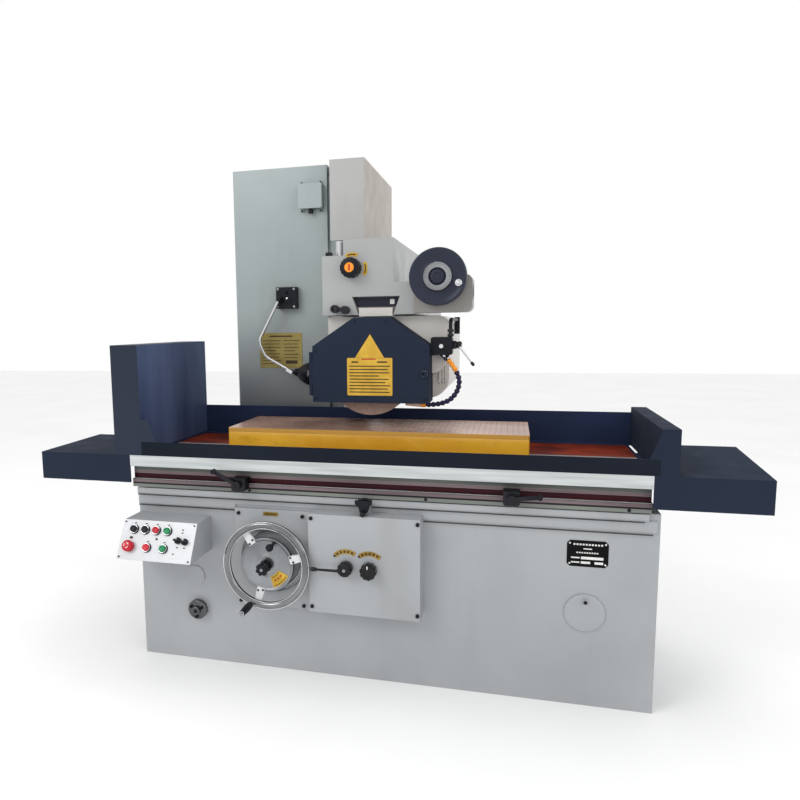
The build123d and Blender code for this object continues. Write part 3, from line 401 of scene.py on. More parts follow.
def make_tray_finish():
    """Navy sheet of the splash tray: darker on the front lip than inside."""
    material = paint("tray navy", NAVY, NAVY_DARK, 0.5, 0.06, 0.0012, 0.0, 0.15)
    tree, surface = parts_of(material)[:2]
    front = spread(tree, facing(tree, "Y"), -0.5, -0.9)
    lip = product(tree, front, spread(tree, coordinate(tree, "Y"), -0.24, -0.255))
    inside = mottle(tree, 5.0, 4.0, rgb(42, 52, 80), rgb(32, 40, 62), (0.4, 1.0, 1.0))
    outside = mottle(tree, 5.0, 4.0, rgb(28, 33, 42), rgb(23, 27, 35), (0.4, 1.0, 1.0))
    feed(tree, surface, blend_colours(tree, lip, inside, outside))
    return matte(material, 0.12, (0.4, 0.45, 0.6, 1.0))


def make_guard_finish():
    """Navy sheet whose inner face is glossier, with a lighter, bluer painted sheen on it."""
    material = paint("guard navy", NAVY, NAVY_DARK, 0.5, 0.06, 0.0012, 0.0, 0.15)
    tree, surface, outer = parts_of(material)
    constants(surface, Specular_IOR_Level=0.14)
    side = spread(tree, facing(tree, "X"), 0.5, 0.9)
    inner = product(tree, side, within(tree, coordinate(tree, "Z"), 0.72, 1.2))
    # lighter blue on the inner face: painted sheen
    inner_sheen = mottle(tree, 5.0, 4.0, rgb(78, 92, 124), rgb(50, 60, 88), (1.0, 1.0, 0.25))
    gloss = spread(tree, inner, 0.0, 1.0, 0.5, 0.24)
    feed(tree, surface, blend_colours(tree, inner, outer, inner_sheen), gloss)
    return material


NAVY = rgb(41, 48, 62)
NAVY_DARK = rgb(37, 43, 57)
bed_paint = paint("bed paint", rgb(160, 163, 166), rgb(148, 151, 154))
column_paint = paint("column paint", rgb(150, 160, 161), rgb(140, 150, 151))
# painted shade: the column darker towards its foot
shaded_low(column_paint, 0.80, 1.22, rgb(96, 98, 101))
carriage_paint = paint("carriage paint", rgb(160, 162, 162), rgb(150, 152, 152))
# a darker, browner copy of the carriage grey: painted shade on the gear housing
shaded_housing_paint = paint("shaded housing paint", rgb(140, 137, 133), rgb(122, 119, 116))
head_paint = paint("wheelhead paint", rgb(206, 203, 198), rgb(192, 188, 182))
navy_paint = paint("navy sheet", NAVY, NAVY_DARK, 0.7, 0.06, 0.0012, 0.0, 0.15)
matte(navy_paint, 0.06, (0.15, 0.2, 0.3, 1.0))
black_steel = metal("blackened steel", rgb(52, 52, 56), rgb(34, 34, 38), 0.42, edge=0.0008)
bright_steel = metal("bright steel", rgb(200, 200, 202), rgb(170, 170, 172), 0.26)
chrome = metal("chrome", rgb(222, 222, 226), rgb(196, 196, 200), 0.12, scale=60.0)
wheel_chrome = metal("handwheel chrome", rgb(138, 140, 142), rgb(92, 94, 96), 0.17, scale=60.0)
black_plastic = plastic("black plastic", rgb(20, 21, 25), rgb(13, 14, 17))
matte(black_plastic, 0.22, (0.8, 0.85, 1.0, 1.0))
gloss_black = plastic("gloss black", rgb(14, 14, 17), rgb(8, 8, 10), 0.2, 0.04)
red_plastic = plastic("red plastic", rgb(190, 28, 48), rgb(160, 20, 38), 0.3)
green_plastic = plastic("green plastic", rgb(16, 128, 80), rgb(10, 104, 64), 0.3)
# near-black finish of the plate painted as the shade in the dovetail slot's opening
slot_shade_black = paint("slot shade black", rgb(34, 37, 48), rgb(26, 28, 37), 0.34, 0.05, 0.001, 0.0, 0.1)
matte(slot_shade_black, 0.3, (0.7, 0.75, 0.85, 1.0))
panel_white = paint("panel white", rgb(198, 200, 204), rgb(186, 188, 193), 0.3, 0.05, 0.0008, 0.3, 0.15)

give(bed_paint, "bed_casting", "bed_port_covers", "handwheel_plate")
give(bed_paint, "valve_box", "valve_box_cover", "control_panel_box")
give(panel_white, "control_panel_plate")
give(column_paint, "column_casting", "junction_box")
give(carriage_paint, "carriage_casting")
give(shaded_housing_paint, "gear_housing")
give(head_paint, "wheelhead_casting", "spindle_motor")
give(make_cover_paint(), "way_cover")
give(make_tray_finish(), "splash_tray")
give(make_guard_finish(), "left_splash_guard")
give(navy_paint, "right_splash_guard", "left_end_cover", "right_end_cover", "wheel_guard", "guard_door")
give(black_steel, "front_screws", "left_trip_dog", "right_trip_dog", "left_dog_lever")
give(black_steel, "right_dog_lever", "reversing_lever", "clamp_lever")
give(bright_steel, "hydraulic_cylinder", "elevating_screw", "spindle", "wheel_flanges")
give(chrome, "piston_rod", "lamp_gooseneck")
give(black_plastic, "lamp_mount", "lamp_head", "coolant_valve", "left_selector", "right_selector")
give(make_table_finish(), "table_casting")
give(make_chuck_finish(), "chuck_body")
give(make_chuck_top(), "chuck_face")
give(make_wheel_finish(), "grinding_wheel")

# ---- mesh building ----


def finish_mesh(name, edit, materials, body, angle=35.0):
    """Turn an edit mesh into a piece that rides on a body."""
    bmesh.ops.recalc_face_normals(edit, faces=edit.faces)
    mesh = bpy.data.meshes.new(name)
    edit.to_mesh(mesh)
    edit.free()
    for material in materials:
        mesh.materials.append(material)
    mesh.polygons.foreach_set("use_smooth", [True] * len(mesh.polygons))
    mesh.set_sharp_from_angle(angle=radians(angle))
    piece = bpy.data.objects.new(name, mesh)
    scene.collection.objects.link(piece)
    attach(piece, body)
    return piece


def walls(edit, rings, index):
    """Faces between each ring of corners and the next; a ring of one corner is a point."""
    for low, high in zip(rings, rings[1:]):
        steps = max(len(low), len(high))
        for k in range(steps):
            m = (k + 1) % steps
            corners = []
            for ring, place in ((low, k), (low, m), (high, m), (high, k)):
                vertex = ring[place % len(ring)]
                if vertex not in corners:
                    corners.append(vertex)
            if len(corners) > 2:
                edit.faces.new(corners).material_index = index


def lathe(edit, profile, origin, axis, steps=48, index=0, flutes=0, depth=0.0):
    """Turn (radius, height) points about an axis through origin, with flutes cut where asked."""
    largest = max(p[0] for p in profile)
    axis = Vector(axis).normalized()
    side = axis.orthogonal().normalized()
    other = axis.cross(side)
    rings = []
    for radius, height in profile:
        centre = Vector(origin) + axis * height * MM
        if radius < 1e-6:
            rings.append([edit.verts.new(centre)])
            continue
        ring = []
        for k in range(steps):
            a = 2 * pi * k / steps
            cut = depth * (0.5 + 0.5 * cos(flutes * a)) if flutes and radius > 0.8 * largest else 0.0
            ring.append(edit.verts.new(centre + (radius - cut) * MM * (cos(a) * side + sin(a) * other)))
        rings.append(ring)
    walls(edit, rings, index)


def plate(edit, outline, origin, across, upward, thickness, chamfer=0.0, index=0):
    """A flat plate on a face: outline in (across, upward), with a chamfer round its front."""
    across = Vector(across).normalized()
    upward = Vector(upward).normalized()
    out = across.cross(upward)
    origin = Vector(origin)
    middle = Vector((sum(p[0] for p in outline), sum(p[1] for p in outline))) / len(outline)

    def ring(height, inset):
        made = []
        for p in outline:
            away = Vector(p) - middle
            pulled = (Vector(p) - away.normalized() * inset) * MM
            place = across * pulled.x + upward * pulled.y + out * height * MM
            made.append(edit.verts.new(origin + place))
        return made

    rings = [ring(0.0, 0.0), ring(thickness - chamfer, 0.0)]
    if chamfer:
        rings.append(ring(thickness, chamfer))
    walls(edit, rings, index)
    edit.faces.new(rings[-1]).material_index = index
    edit.faces.new(list(reversed(rings[0]))).material_index = index


def rectangle(x0, x1, y0, y1, cut=0.0):
    """A rectangle's outline, with its corners cut off."""
    if not cut:
        return [(x0, y0), (x1, y0), (x1, y1), (x0, y1)]
    return [
        (x0 + cut, y0), (x1 - cut, y0), (x1, y0 + cut), (x1, y1 - cut),
        (x1 - cut, y1), (x0 + cut, y1), (x0, y1 - cut), (x0, y0 + cut),
    ]


def sector(radius_in, radius_out, start, end, steps=14):
    """The outline of part of a ring, with angles in degrees from across."""
    angles = [radians(start + (end - start) * k / steps) for k in range(steps + 1)]
    outer = [(radius_out * cos(a), radius_out * sin(a)) for a in angles]
    inner = [(radius_in * cos(a), radius_in * sin(a)) for a in reversed(angles)]
    return outer + inner


def marks(edit, rows, origin, across, upward, height, index):
    """Plain bars that stand for lines of print: (x0, x1, y, thickness) each."""
    for x0, x1, y, thick in rows:
        bar = rectangle(x0, x1, y - thick / 2, y + thick / 2)
        plate(edit, bar, origin, across, upward, height, 0.0, index)


def screw_head(edit, place, axis, radius, height, index=0, dark=1):
    """A socket screw's head with its socket."""
    lip = radius * 0.12
    profile = [
        (radius, 0.0), (radius, height - lip), (radius - lip, height),
        (radius * 0.55, height), (radius * 0.5, height - lip * 0.5),
    ]
    lathe(edit, profile, place, axis, 20, index)
    socket = [(radius * 0.5, height - lip * 0.5), (radius * 0.46, height * 0.45), (0.0, height * 0.4)]
    lathe(edit, socket, place, axis, 6, dark)


def rivets(edit, place, x_half, z_half, profile, index):
    """Four rivet heads near a plate's corners, facing the front."""
    for x in (-x_half, x_half):
        for z in (-z_half, z_half):
            lathe(edit, profile, Vector(place) + Vector((x, 0.0, z)), (0, -1, 0), 14, index)


def spoke(degrees):
    """A direction in the plane of a front wheel, by its angle."""
    return Vector((cos(radians(degrees)), 0.0, sin(radians(degrees))))


def tube(edit, points, radii, steps=16, index=0):
    """A round capped tube along points, with a radius for each point, all in metres."""
    points = [Vector(p) for p in points]
    side = None
    rings = []
    for k, point in enumerate(points):
        before = points[max(k - 1, 0)]
        after = points[min(k + 1, len(points) - 1)]
        along = (after - before).normalized()
        side = along.orthogonal() if side is None else side - along * side.dot(along)
        side.normalize()
        other = along.cross(side)
        ring = []
        for m in range(steps):
            a = 2 * pi * m / steps
            ring.append(edit.verts.new(point + radii[k] * (cos(a) * side + sin(a) * other)))
        rings.append(ring)
    walls(edit, rings, index)
    edit.faces.new(list(reversed(rings[0]))).material_index = index
    edit.faces.new(rings[-1]).material_index = index

# ---- plates and labels: shapes with plain marks, no lettering ----

X, Y, Z = Vector((1, 0, 0)), Vector((0, 1, 0)), Vector((0, 0, 1))
brass = metal("brass label", rgb(176, 150, 70), rgb(140, 118, 52), 0.36, scale=90.0)
scale_brass = plastic("scale brass", rgb(160, 130, 58), rgb(130, 102, 42), 0.45, 0.05)
yellow_label = plastic("yellow label", rgb(206, 166, 58), rgb(186, 146, 44), 0.45, 0.05)
dark_print = plastic("dark print", rgb(60, 44, 24), rgb(46, 34, 20), 0.5, 0.05)
red_print = plastic("red print", rgb(176, 44, 30), rgb(150, 32, 24), 0.5, 0.05)
white_print = plastic("white print", rgb(222, 222, 220), rgb(200, 200, 198), 0.5, 0.05)
black_plate = paint("black plate", rgb(14, 14, 17), rgb(9, 9, 11), 0.4, 0.04, 0.0, 0.0, 0.1)
matte(black_plate, 0.15, (0.5, 0.5, 0.5, 1.0))
orange_plastic = plastic("orange plastic", rgb(236, 150, 44), rgb(216, 128, 30), 0.4)


def text_rows(x0, x1, top, bottom, count, thick, ragged=(1.0, 0.94, 0.98, 0.72, 0.96, 0.88)):
    rows = []
    for k in range(count):
        height = top - (top - bottom) * k / max(count - 1, 1)
        rows.append((x0, x0 + (x1 - x0) * ragged[k % len(ragged)], height, thick))
    return rows


bed_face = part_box("bed_casting")[0].y + 0.010
edit = bmesh.new()
label_x, label_z = 0.641, 0.476
plate(edit, rectangle(-58, 58, -40, 40, 9), (label_x, bed_face, label_z), X, Z, 1.6, 0.6)
rows = [(x * 8.5 - 40, x * 8.5 - 34.5, 28, 5) for x in range(10)]
rows += [(x * 7 - 31, x * 7 - 26.5, 3, 4) for x in range(9)] + [(-12, 12, 15, 3)]
rows += [(-46, -22, -13, 4), (-18, 44, -13, 8), (-46, -22, -27, 4), (-18, 8, -27, 7), (20, 44, -27, 7)]
marks(edit, rows, (label_x, bed_face - 0.0016, label_z), X, Z, 0.3, 1)
rivets(edit, (label_x, bed_face - 0.0014, label_z), 0.050, 0.031, [(2.8, 0), (2.6, 1), (0, 1.6)], 1)
finish_mesh("bed_nameplate", edit, [black_plate, white_print], "machine")

plate_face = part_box("handwheel_plate")[0].y + 0.022
edit = bmesh.new()
label_x, label_z = -0.345, 0.541
plate(edit, rectangle(-26, 26, -6.5, 6.5, 2), (label_x, plate_face, label_z), X, Z, 1.2, 0.4)
marks(edit, [(-20, 19, 0, 3.5)], (label_x, plate_face - 0.0012, label_z), X, Z, 0.3, 1)
finish_mesh("handwheel_plate_label", edit, [brass, dark_print], "machine")

cover_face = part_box("valve_box_cover")[0].y
edit = bmesh.new()
for x, z, tilt in ((-0.076, 0.401, 4), (-0.002, 0.399, -4)):
    plate(edit, sector(43, 58, 52 + tilt, 132 + tilt), (x, cover_face, z), X, Z, 1.2)
    for a in range(60, 131, 14):
        rows = sector(47, 54, a + tilt, a + tilt + 8, 3)
        plate(edit, rows, (x, cover_face - 0.0012, z), X, Z, 0.3, 0, 1)
finish_mesh("knob_scales", edit, [scale_brass, dark_print], "machine")

column_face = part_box("lamp_mount")[1].y
edit = bmesh.new()
label_x, label_z = -0.508, 1.056
plate(edit, rectangle(-92, 92, -72, 72, 3), (label_x, column_face, label_z), X, Z, 1.4, 0.5)
rows = [(-50, 50, 58, 6)] + text_rows(-80, 0, 40, -55, 8, 3)
rows += text_rows(12, 80, 40, -30, 6, 3) + [(20, 70, -48, 14)]
marks(edit, rows, (label_x, column_face - 0.0014, label_z), X, Z, 0.3, 1)
rivets(edit, (label_x, column_face - 0.0013, label_z), 0.086, 0.066, [(3, 0), (2.8, 1), (0, 1.7)], 0)
olive = metal("olive brass", rgb(150, 136, 84), rgb(122, 110, 66), 0.42, scale=90.0)
finish_mesh("column_plate", edit, [olive, dark_print], "machine")

door_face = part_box("guard_door")[0].y + 0.012
edit = bmesh.new()
label_x, label_z = -0.050, 0.981
plate(edit, rectangle(-78, 78, -64, 64, 3), (label_x, door_face, label_z), X, Z, 1, 0.4)
plate(edit, [(-50, 64.5), (50, 64.5), (2, 144)], (label_x, door_face, label_z), X, Z, 1, 0.4)
rows = [(-62, -40, 50, 5), (26, 60, 50, 5)]
rows += text_rows(-70, 71, 36, -52, 9, 3.5)
marks(edit, rows, (label_x, door_face - 0.001, label_z), X, Z, 0.3, 1)
marks(edit, [(-28, 22, 60, 4)], (label_x, door_face - 0.001, label_z), X, Z, 0.3, 2)
finish_mesh("guard_plate", edit, [yellow_label, dark_print, red_print], "guard_door")

# ---- console: collars, button caps, emergency stop, marks ----

panel_up = Vector((0.0, 0.4741, 0.8805))
panel_out = X.cross(panel_up)
panel_top = Vector((0.0, -0.333, 0.519))
buttons = [(x, 0.032) for x in (-0.787, -0.746, -0.706, -0.665)] + [(-0.729, 0.090), (-0.669, 0.090)]
cap_finishes = dict(black_plastic=black_plastic, red_plastic=red_plastic, green_plastic=green_plastic)
caps = ["black_plastic"] * 2 + ["red_plastic", "green_plastic"] * 2


def on_panel(x, s, height=0.003):
    return panel_top - panel_up * s + panel_out * height + X * x


edit = bmesh.new()
for x, s in buttons:
    place = on_panel(x, s, 0.0)
    ring = [(15.8, 3), (15.8, 6.5), (15, 7.6), (13.6, 7.8)]
    lathe(edit, ring, place, panel_out, 40)
    ring = [(14, 7), (14, 10), (13.4, 10.8), (12.4, 10.8), (12, 10.2), (12, 3)]
    lathe(edit, ring, place, panel_out, 40, 1)
stop_x, stop_down = -0.793, 0.090
stop_place = on_panel(stop_x, stop_down, 0.0)
lathe(edit, [(17.2, 3), (17.2, 4.8), (16.4, 5.6), (10, 5.6)], stop_place, panel_out, 40, 2)
finish_mesh("button_collars", edit, [black_plastic, chrome, red_plastic], "machine")

for number, ((x, s), cap) in enumerate(zip(buttons, caps), start=1):
    edit = bmesh.new()
    place = on_panel(x, s, 0.0)
    profile = [(0, -8), (6.9, -8), (6.9, 6.6), (8, 7), (8, 8.2), (11.3, 8.4), (11.5, 9)]
    profile += [(11.5, 14.8), (10.9, 15.8), (9.8, 16), (8.6, 15.5), (4, 15.1), (0, 15)]
    lathe(edit, profile, place, panel_out, 40)
    piece = finish_mesh(f"button_cap_{number}", edit, [cap_finishes[cap]], f"button_{number}")
    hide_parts(f"push_button_{number}")

edit = bmesh.new()
profile = [(0, -8), (6.9, -8), (6.9, 10), (8.5, 10.4), (8.5, 12), (17, 12.2), (18.7, 13.4), (19, 15)]
profile += [(18.8, 19), (17.8, 22.6), (15.5, 25), (11.5, 26.3), (6, 26.9), (0, 27)]
lathe(edit, profile, stop_place, panel_out, 48)
for turn_start in (20, 140, 260):
    place = on_panel(stop_x, stop_down, 0.0266)
    plate(edit, sector(6.8, 9.2, turn_start, turn_start + 70, 8), place, X, panel_up, 0.3, 0, 1)
finishes = [red_plastic, white_print]
piece = finish_mesh("emergency_stop_head", edit, finishes, "emergency_stop")
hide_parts("emergency_stop")

edit = bmesh.new()
for x, s in buttons:
    plate(edit, rectangle(-4, 4, -1.5, 1.5), on_panel(x, s - 0.021), X, panel_up, 0.3)
plate(edit, rectangle(-6, 6, -4, 4, 2), on_panel(stop_x, 0.060), X, panel_up, 0.3)
plate(edit, rectangle(-4, 4, -3.5, 3.5, 1), on_panel(-0.700, 0.060), X, panel_up, 0.3)
for x, s in ((-0.612, 0.024), (-0.612, 0.034), (-0.622, 0.082), (-0.597, 0.082), (-0.632, 0.104)):
    plate(edit, rectangle(-3, 3, -2, 2), on_panel(x, s), X, panel_up, 0.3)
for x, s in ((-0.826, 0.006), (-0.572, 0.006), (-0.826, 0.126), (-0.572, 0.126)):
    lathe(edit, [(3.6, 0), (3.4, 1.2), (1.6, 1.8), (0, 1.8)], on_panel(x, s), panel_out, 20, 1)
finish_mesh("console_marks", edit, [dark_print, chrome], "machine")

for name, x, s in (("left_selector", -0.622, 0.060), ("right_selector", -0.597, 0.063)):
    edit = bmesh.new()
    plate(edit, rectangle(-1.2, 1.2, 2, 9.5), on_panel(x, s, 0.0216), X, panel_up, 0.4)
    finish_mesh(name + "_line", edit, [white_print], name)

# ---- bed handwheel ----

white_metal = paint("pale enamel", rgb(214, 216, 218), rgb(196, 199, 202), 0.3, 0.05, 0.0, 0.3, 0.15)
dial_steel = metal("dial steel", rgb(150, 153, 156), rgb(108, 110, 114), 0.32, scale=240.0)
wheel_x, wheel_z = -0.337, 0.392
rim_y, disc_y = -0.320, -0.316


def ring_profile(middle, thick, count=24):
    """A closed round section at a radius, as a lathe profile."""
    turns = [2 * pi * k / count for k in range(count + 1)]
    return [(middle + thick * cos(a), thick * sin(a)) for a in turns]


edit = bmesh.new()
lathe(edit, ring_profile(134, 12), (wheel_x, rim_y, wheel_z), -Y, 120)
# two thin chrome beads on the rim's inner and outer edge, a painted highlight of the rim
for highlight_bead in (123.6, 144.4):
    lathe(edit, ring_profile(highlight_bead, 1.8, 8), (wheel_x, rim_y - 0.0056, wheel_z), -Y, 120, 4)
profile = [(12, -105), (12, -22), (30, -22), (34, -18), (86, -18), (89.5, -16.5)]
profile += [(90, -14), (90, -3), (88.5, -0.8), (86.5, 0), (83.5, -0.8), (82, -3)]
profile += [(78, -4.2), (46, -4.8), (34, -3), (30, 0), (26, 0), (9.5, 0)]
lathe(edit, profile, (wheel_x, disc_y, wheel_z), -Y, 96, 1)
lathe(edit, [(9.5, 0), (9.5, -60)], (wheel_x, disc_y, wheel_z), -Y, 32, 1)
for turn_to in (125, 15, 255):
    along = spoke(turn_to)
    flank = spoke(turn_to - 90)
    outline = [(80, -13), (94, -14), (112, -12.5), (127, -11), (127, 11), (112, 12.5), (94, 14), (80, 13)]
    base = Vector((wheel_x, rim_y + 0.012, wheel_z))
    plate(edit, outline, base, along, along.cross(Y), 8, 1.2, 2)
    for out, aside in ((0.092, 0.008), (0.086, -0.008)):
        spot = Vector((wheel_x, rim_y + 0.004, wheel_z)) + along * out + flank * aside
        lathe(edit, [(3.5, 0), (3.3, 2.2), (0, 2.6)], spot, -Y, 16, 3)
grip_x, grip_z = -0.389, 0.262
pin_place = (grip_x, rim_y, grip_z)
lathe(edit, [(5, 0), (5, 92), (0, 92)], pin_place, -Y, 24, 1)
lathe(edit, [(10.5, 8), (10.5, 12.5), (8.5, 13)], pin_place, -Y, 24, 1)
finishes = [wheel_chrome, dial_steel, white_metal, black_steel, chrome]
piece = finish_mesh("handwheel_body", edit, finishes, "elevating_handwheel", 40)
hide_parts("elevating_handwheel")

edit = bmesh.new()
plate(edit, sector(40, 78, -74, -24, 16), (wheel_x, disc_y + 0.0046, wheel_z), X, Z, 1.2)
print_place = (wheel_x, disc_y + 0.0034, wheel_z)
for inner in (44.5, 72):
    plate(edit, sector(inner, inner + 2, -70, -28, 12), print_place, X, Z, 0.3, 0, 1)
for a in (-64, -52, -40):
    plate(edit, sector(54, 60, a, a + 7, 4), print_place, X, Z, 0.3, 0, 2)
finish_mesh("handwheel_sector", edit, [yellow_label, dark_print, red_print], "elevating_handwheel")

edit = bmesh.new()
profile = [(5.5, -4), (5.5, 10), (7.8, 12)]
profile += [(12.5 * sin(a), 22.5 - 12.5 * cos(a)) for a in [radians(40 + 14 * k) for k in range(10)]]
lathe(edit, profile + [(0, 35)], (wheel_x + 0.020, disc_y, wheel_z + 0.066), -Y, 32)
finish_mesh("handwheel_index_knob", edit, [black_plastic], "elevating_handwheel")

edit = bmesh.new()
lathe(edit, [(0, 0), (9, 0), (9, 40)], (wheel_x, -0.276, wheel_z), -Y, 32)
profile = [(10.5, 40.2), (19.5, 40.4), (20.5, 41.6), (20.5, 49), (19.5, 50.6), (11, 51.2)]
profile += [(9.5, 54.5), (9.5, 62), (12, 65), (19.5, 66), (20.9, 67.6), (20.9, 85)]
profile += [(20, 88.4), (17, 89.8), (8, 89.3), (0, 89)]
lathe(edit, profile, (wheel_x, -0.276, wheel_z), -Y, 96, 0, 7, 4.2)
lathe(edit, [(5.6, 88.5), (5.2, 89.7), (0, 89.9)], (wheel_x, -0.276, wheel_z), -Y, 24, 1)
piece = finish_mesh("clutch_star_knob", edit, [black_plastic, dial_steel], "clutch_knob")
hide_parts("clutch_knob")

edit = bmesh.new()
profile = [(5.4, 0), (8.5, 0), (10, 3), (11.2, 12), (12, 30), (11.6, 46)]
profile += [(10.4, 60), (9.8, 68), (9.2, 73), (7.6, 74.8), (5.4, 75)]
lathe(edit, profile, (grip_x, -0.3336, grip_z), -Y, 36)
lathe(edit, [(7.4, 74.8), (7, 75.6), (5.4, 75.6)], (grip_x, -0.3336, grip_z), -Y, 36, 1)
piece = finish_mesh("handwheel_handle", edit, [black_plastic, chrome], "handwheel_grip")
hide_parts("handwheel_grip")

edit = bmesh.new()
profile = [(94, 0), (112, 0), (112, 10), (110, 13), (96, 13), (94, 10), (94, 0)]
lathe(edit, profile, (wheel_x, -0.245, wheel_z), -Y, 96)
for k in range(60):
    tick = 9 if k % 5 else 12
    along = spoke(6 * k)
    spot = Vector((wheel_x, -0.258, wheel_z)) + along * 0.1095
    plate(edit, rectangle(-0.6, 0.6, -tick, 0), spot, along.cross(-Y), along, 0.2, 0, 1)
finish_mesh("handwheel_dial", edit, [dial_steel, dark_print], "machine")

# ---- crossfeed handwheel ----

hub_x, hub_z = 0.174, 1.310
lacquer = paint("wheel lacquer", rgb(42, 46, 58), rgb(34, 37, 48), 0.3, 0.05, 0.0, 0.0, 0.15)
matte(lacquer, 0.35, (0.6, 0.65, 0.8, 1.0))
edit = bmesh.new()
profile = [(0, -17.5), (60, -17.5), (60, 0), (90, 0), (94.5, 3), (95, 6)]
profile += [(95, 24), (93.5, 28), (89.5, 30), (84.5, 29.2), (80, 26.8), (56, 25.6)]
profile += [(50, 27.2), (48, 30), (46, 30)]
lathe(edit, profile, (hub_x, 0.006, hub_z), -Y, 120)
profile = [(47, 29), (46.6, 38), (45, 39.8), (29, 40), (27.8, 38.8), (27.5, 34)]
lathe(edit, profile, (hub_x, 0.006, hub_z), -Y, 96, 1)
profile = [(27.5, 34), (25, 34.5), (24, 40), (22.5, 44), (13, 45.2), (11.8, 43), (0, 42.5)]
lathe(edit, profile, (hub_x, 0.006, hub_z), -Y, 72, 0, 12, 1.5)
for k in range(40):
    tick = 4.5 if k % 5 else 7.5
    along = spoke(9 * k)
    spot = Vector((hub_x, -0.0340, hub_z)) + along * 0.0442
    plate(edit, rectangle(-0.5, 0.5, -tick, 0), spot, along.cross(-Y), along, 0.2, 0, 3)
pin = (hub_x + 0.068, -0.019, hub_z - 0.022)
profile = [(12, -1), (12, 8), (10.8, 9.5), (8, 9.5), (7.4, 12), (6, 14.8), (0, 15)]
lathe(edit, profile, pin, -Y, 36, 2)
finishes = [lacquer, dial_steel, chrome, dark_print]
piece = finish_mesh("crossfeed_wheel", edit, finishes, "crossfeed_handwheel")
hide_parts("crossfeed_handwheel")

# ---- feed knob with its scale, on the carriage ----

edit = bmesh.new()
feed_x, feed_z = -0.126, 1.351
knob = (feed_x, 0.0375, feed_z)
profile = [(0, 0), (33, 0), (34.5, 2), (34.5, 7), (33, 9), (30, 11), (33, 14)]
profile += [(35.5, 18), (36, 23), (35.5, 40), (33.5, 46), (29, 48.8), (16.5, 49.4)]
lathe(edit, profile, knob, -Y, 120, 0, 16, 2.2)
lathe(edit, [(16.5, 49.4), (16, 48.4), (0, 48.4)], knob, -Y, 40, 1)
plate(edit, rectangle(-2.8, 2.8, -10.5, 10.5), (feed_x, knob[1] - 0.0484, feed_z), X, Z, 0.6, 0, 2)
finishes = [black_plastic, orange_plastic, red_print]
piece = finish_mesh("feed_knob_body", edit, finishes, "feed_knob")
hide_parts("feed_knob")

carriage_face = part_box("carriage_casting")[0].y
edit = bmesh.new()
for start, end in ((66, 118), (-30, 24)):
    plate(edit, sector(41, 54, start, end), (feed_x, carriage_face, feed_z), X, Z, 1.2)
    print_place = (feed_x, carriage_face - 0.0012, feed_z)
    plate(edit, sector(45.5, 49.5, start + 8, end - 8, 8), print_place, X, Z, 0.3, 0, 1)
finish_mesh("feed_knob_scale", edit, [yellow_label, dark_print], "carriage")

# ---- start lever and speed knob on the valve box ----

edit = bmesh.new()
start_x, start_z = -0.076, 0.401
knob = (start_x, -0.3005, start_z)
profile = [(0, 0), (21, 0), (22.5, 2), (23.5, 8), (24, 20), (23.5, 30)]
profile += [(21.5, 34.5), (18, 36.5), (11, 36.8), (10, 35), (0, 35)]
lathe(edit, profile, knob, -Y, 96, 0, 12, 1.6)
lathe(edit, [(5.6, 35), (5.2, 36.4), (3, 36.8), (0, 36.8)], knob, -Y, 24, 1)
places = [(start_x - d, -0.326, 0.395) for d in (0.018, 0.040, 0.088, 0.092, 0.106, 0.110)]
tube(edit, places, [0.0048, 0.0042, 0.0038, 0.0064, 0.0068, 0.0052], 20, 0)
piece = finish_mesh("start_lever_body", edit, [gloss_black, dial_steel], "start_lever")
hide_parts("start_lever")

edit = bmesh.new()
knob = (-0.002, -0.3005, 0.399)
profile = [(0, 0), (23, 0), (25, 2), (26.2, 8), (26.8, 20), (26.2, 30)]
profile += [(24, 34.8), (20, 36.8), (12, 37.2), (11, 35.2), (0, 35.2)]
lathe(edit, profile, knob, -Y, 120, 0, 10, 2.2)
plate(edit, rectangle(-1.6, 1.6, 13, 22.5), (-0.002, -0.3375, 0.399), X, Z, 0.4, 0, 1)
piece = finish_mesh("speed_knob_body", edit, [gloss_black, white_print], "speed_knob")
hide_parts("speed_knob")

# ---- coolant hose, valve and nozzle ----

hose_curve = spline_curve("hose_line", hose_points)
hose_line = line_of(hose_curve)
bpy.data.objects.remove(hose_curve)
hose_lengths = lengths_along(hose_line)
hose_blue = plastic("hose blue", rgb(34, 28, 66), rgb(24, 20, 50), 0.34)
hose_orange = plastic("hose orange", rgb(240, 156, 48), rgb(222, 134, 34), 0.36)
nozzle_cream = plastic("nozzle cream", rgb(222, 196, 176), rgb(206, 176, 150), 0.4)
links = 15
pitch = hose_lengths[-1] / links
bead = [(0.00, 0.0058), (0.06, 0.0072), (0.14, 0.0086), (0.26, 0.0090), (0.46, 0.0089), (0.60, 0.0083)]
bead += [(0.72, 0.0074), (0.82, 0.0064), (0.92, 0.0059), (1.00, 0.0058)]
edit = bmesh.new()
for k in range(links):
    colour = 1 if k < 3 else 0
    places = [point_at(hose_line, hose_lengths, (k + share) * pitch)[0] for share, r in bead]
    tube(edit, places, [r for share, r in bead], 24, colour)
piece = finish_mesh("jointed_hose", edit, [hose_blue, hose_orange], "wheelhead")
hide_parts("coolant_hose")

edit = bmesh.new()
tip = hose_points[-1]
profile = [(0, 0), (8.2, 0), (9, 2), (9, 13), (8.4, 15), (7.8, 16)]
lathe(edit, profile, tip, -X, 36, 1)
profile = [(7.8, 16), (8.2, 17), (8.2, 26), (7.2, 30), (5.8, 48), (4.5, 70), (3.2, 70), (3.2, 56), (0, 55)]
lathe(edit, profile, tip, -X, 36)
nozzle = finish_mesh("hose_nozzle", edit, [nozzle_cream, hose_orange], "wheelhead")
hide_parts("coolant_nozzle")

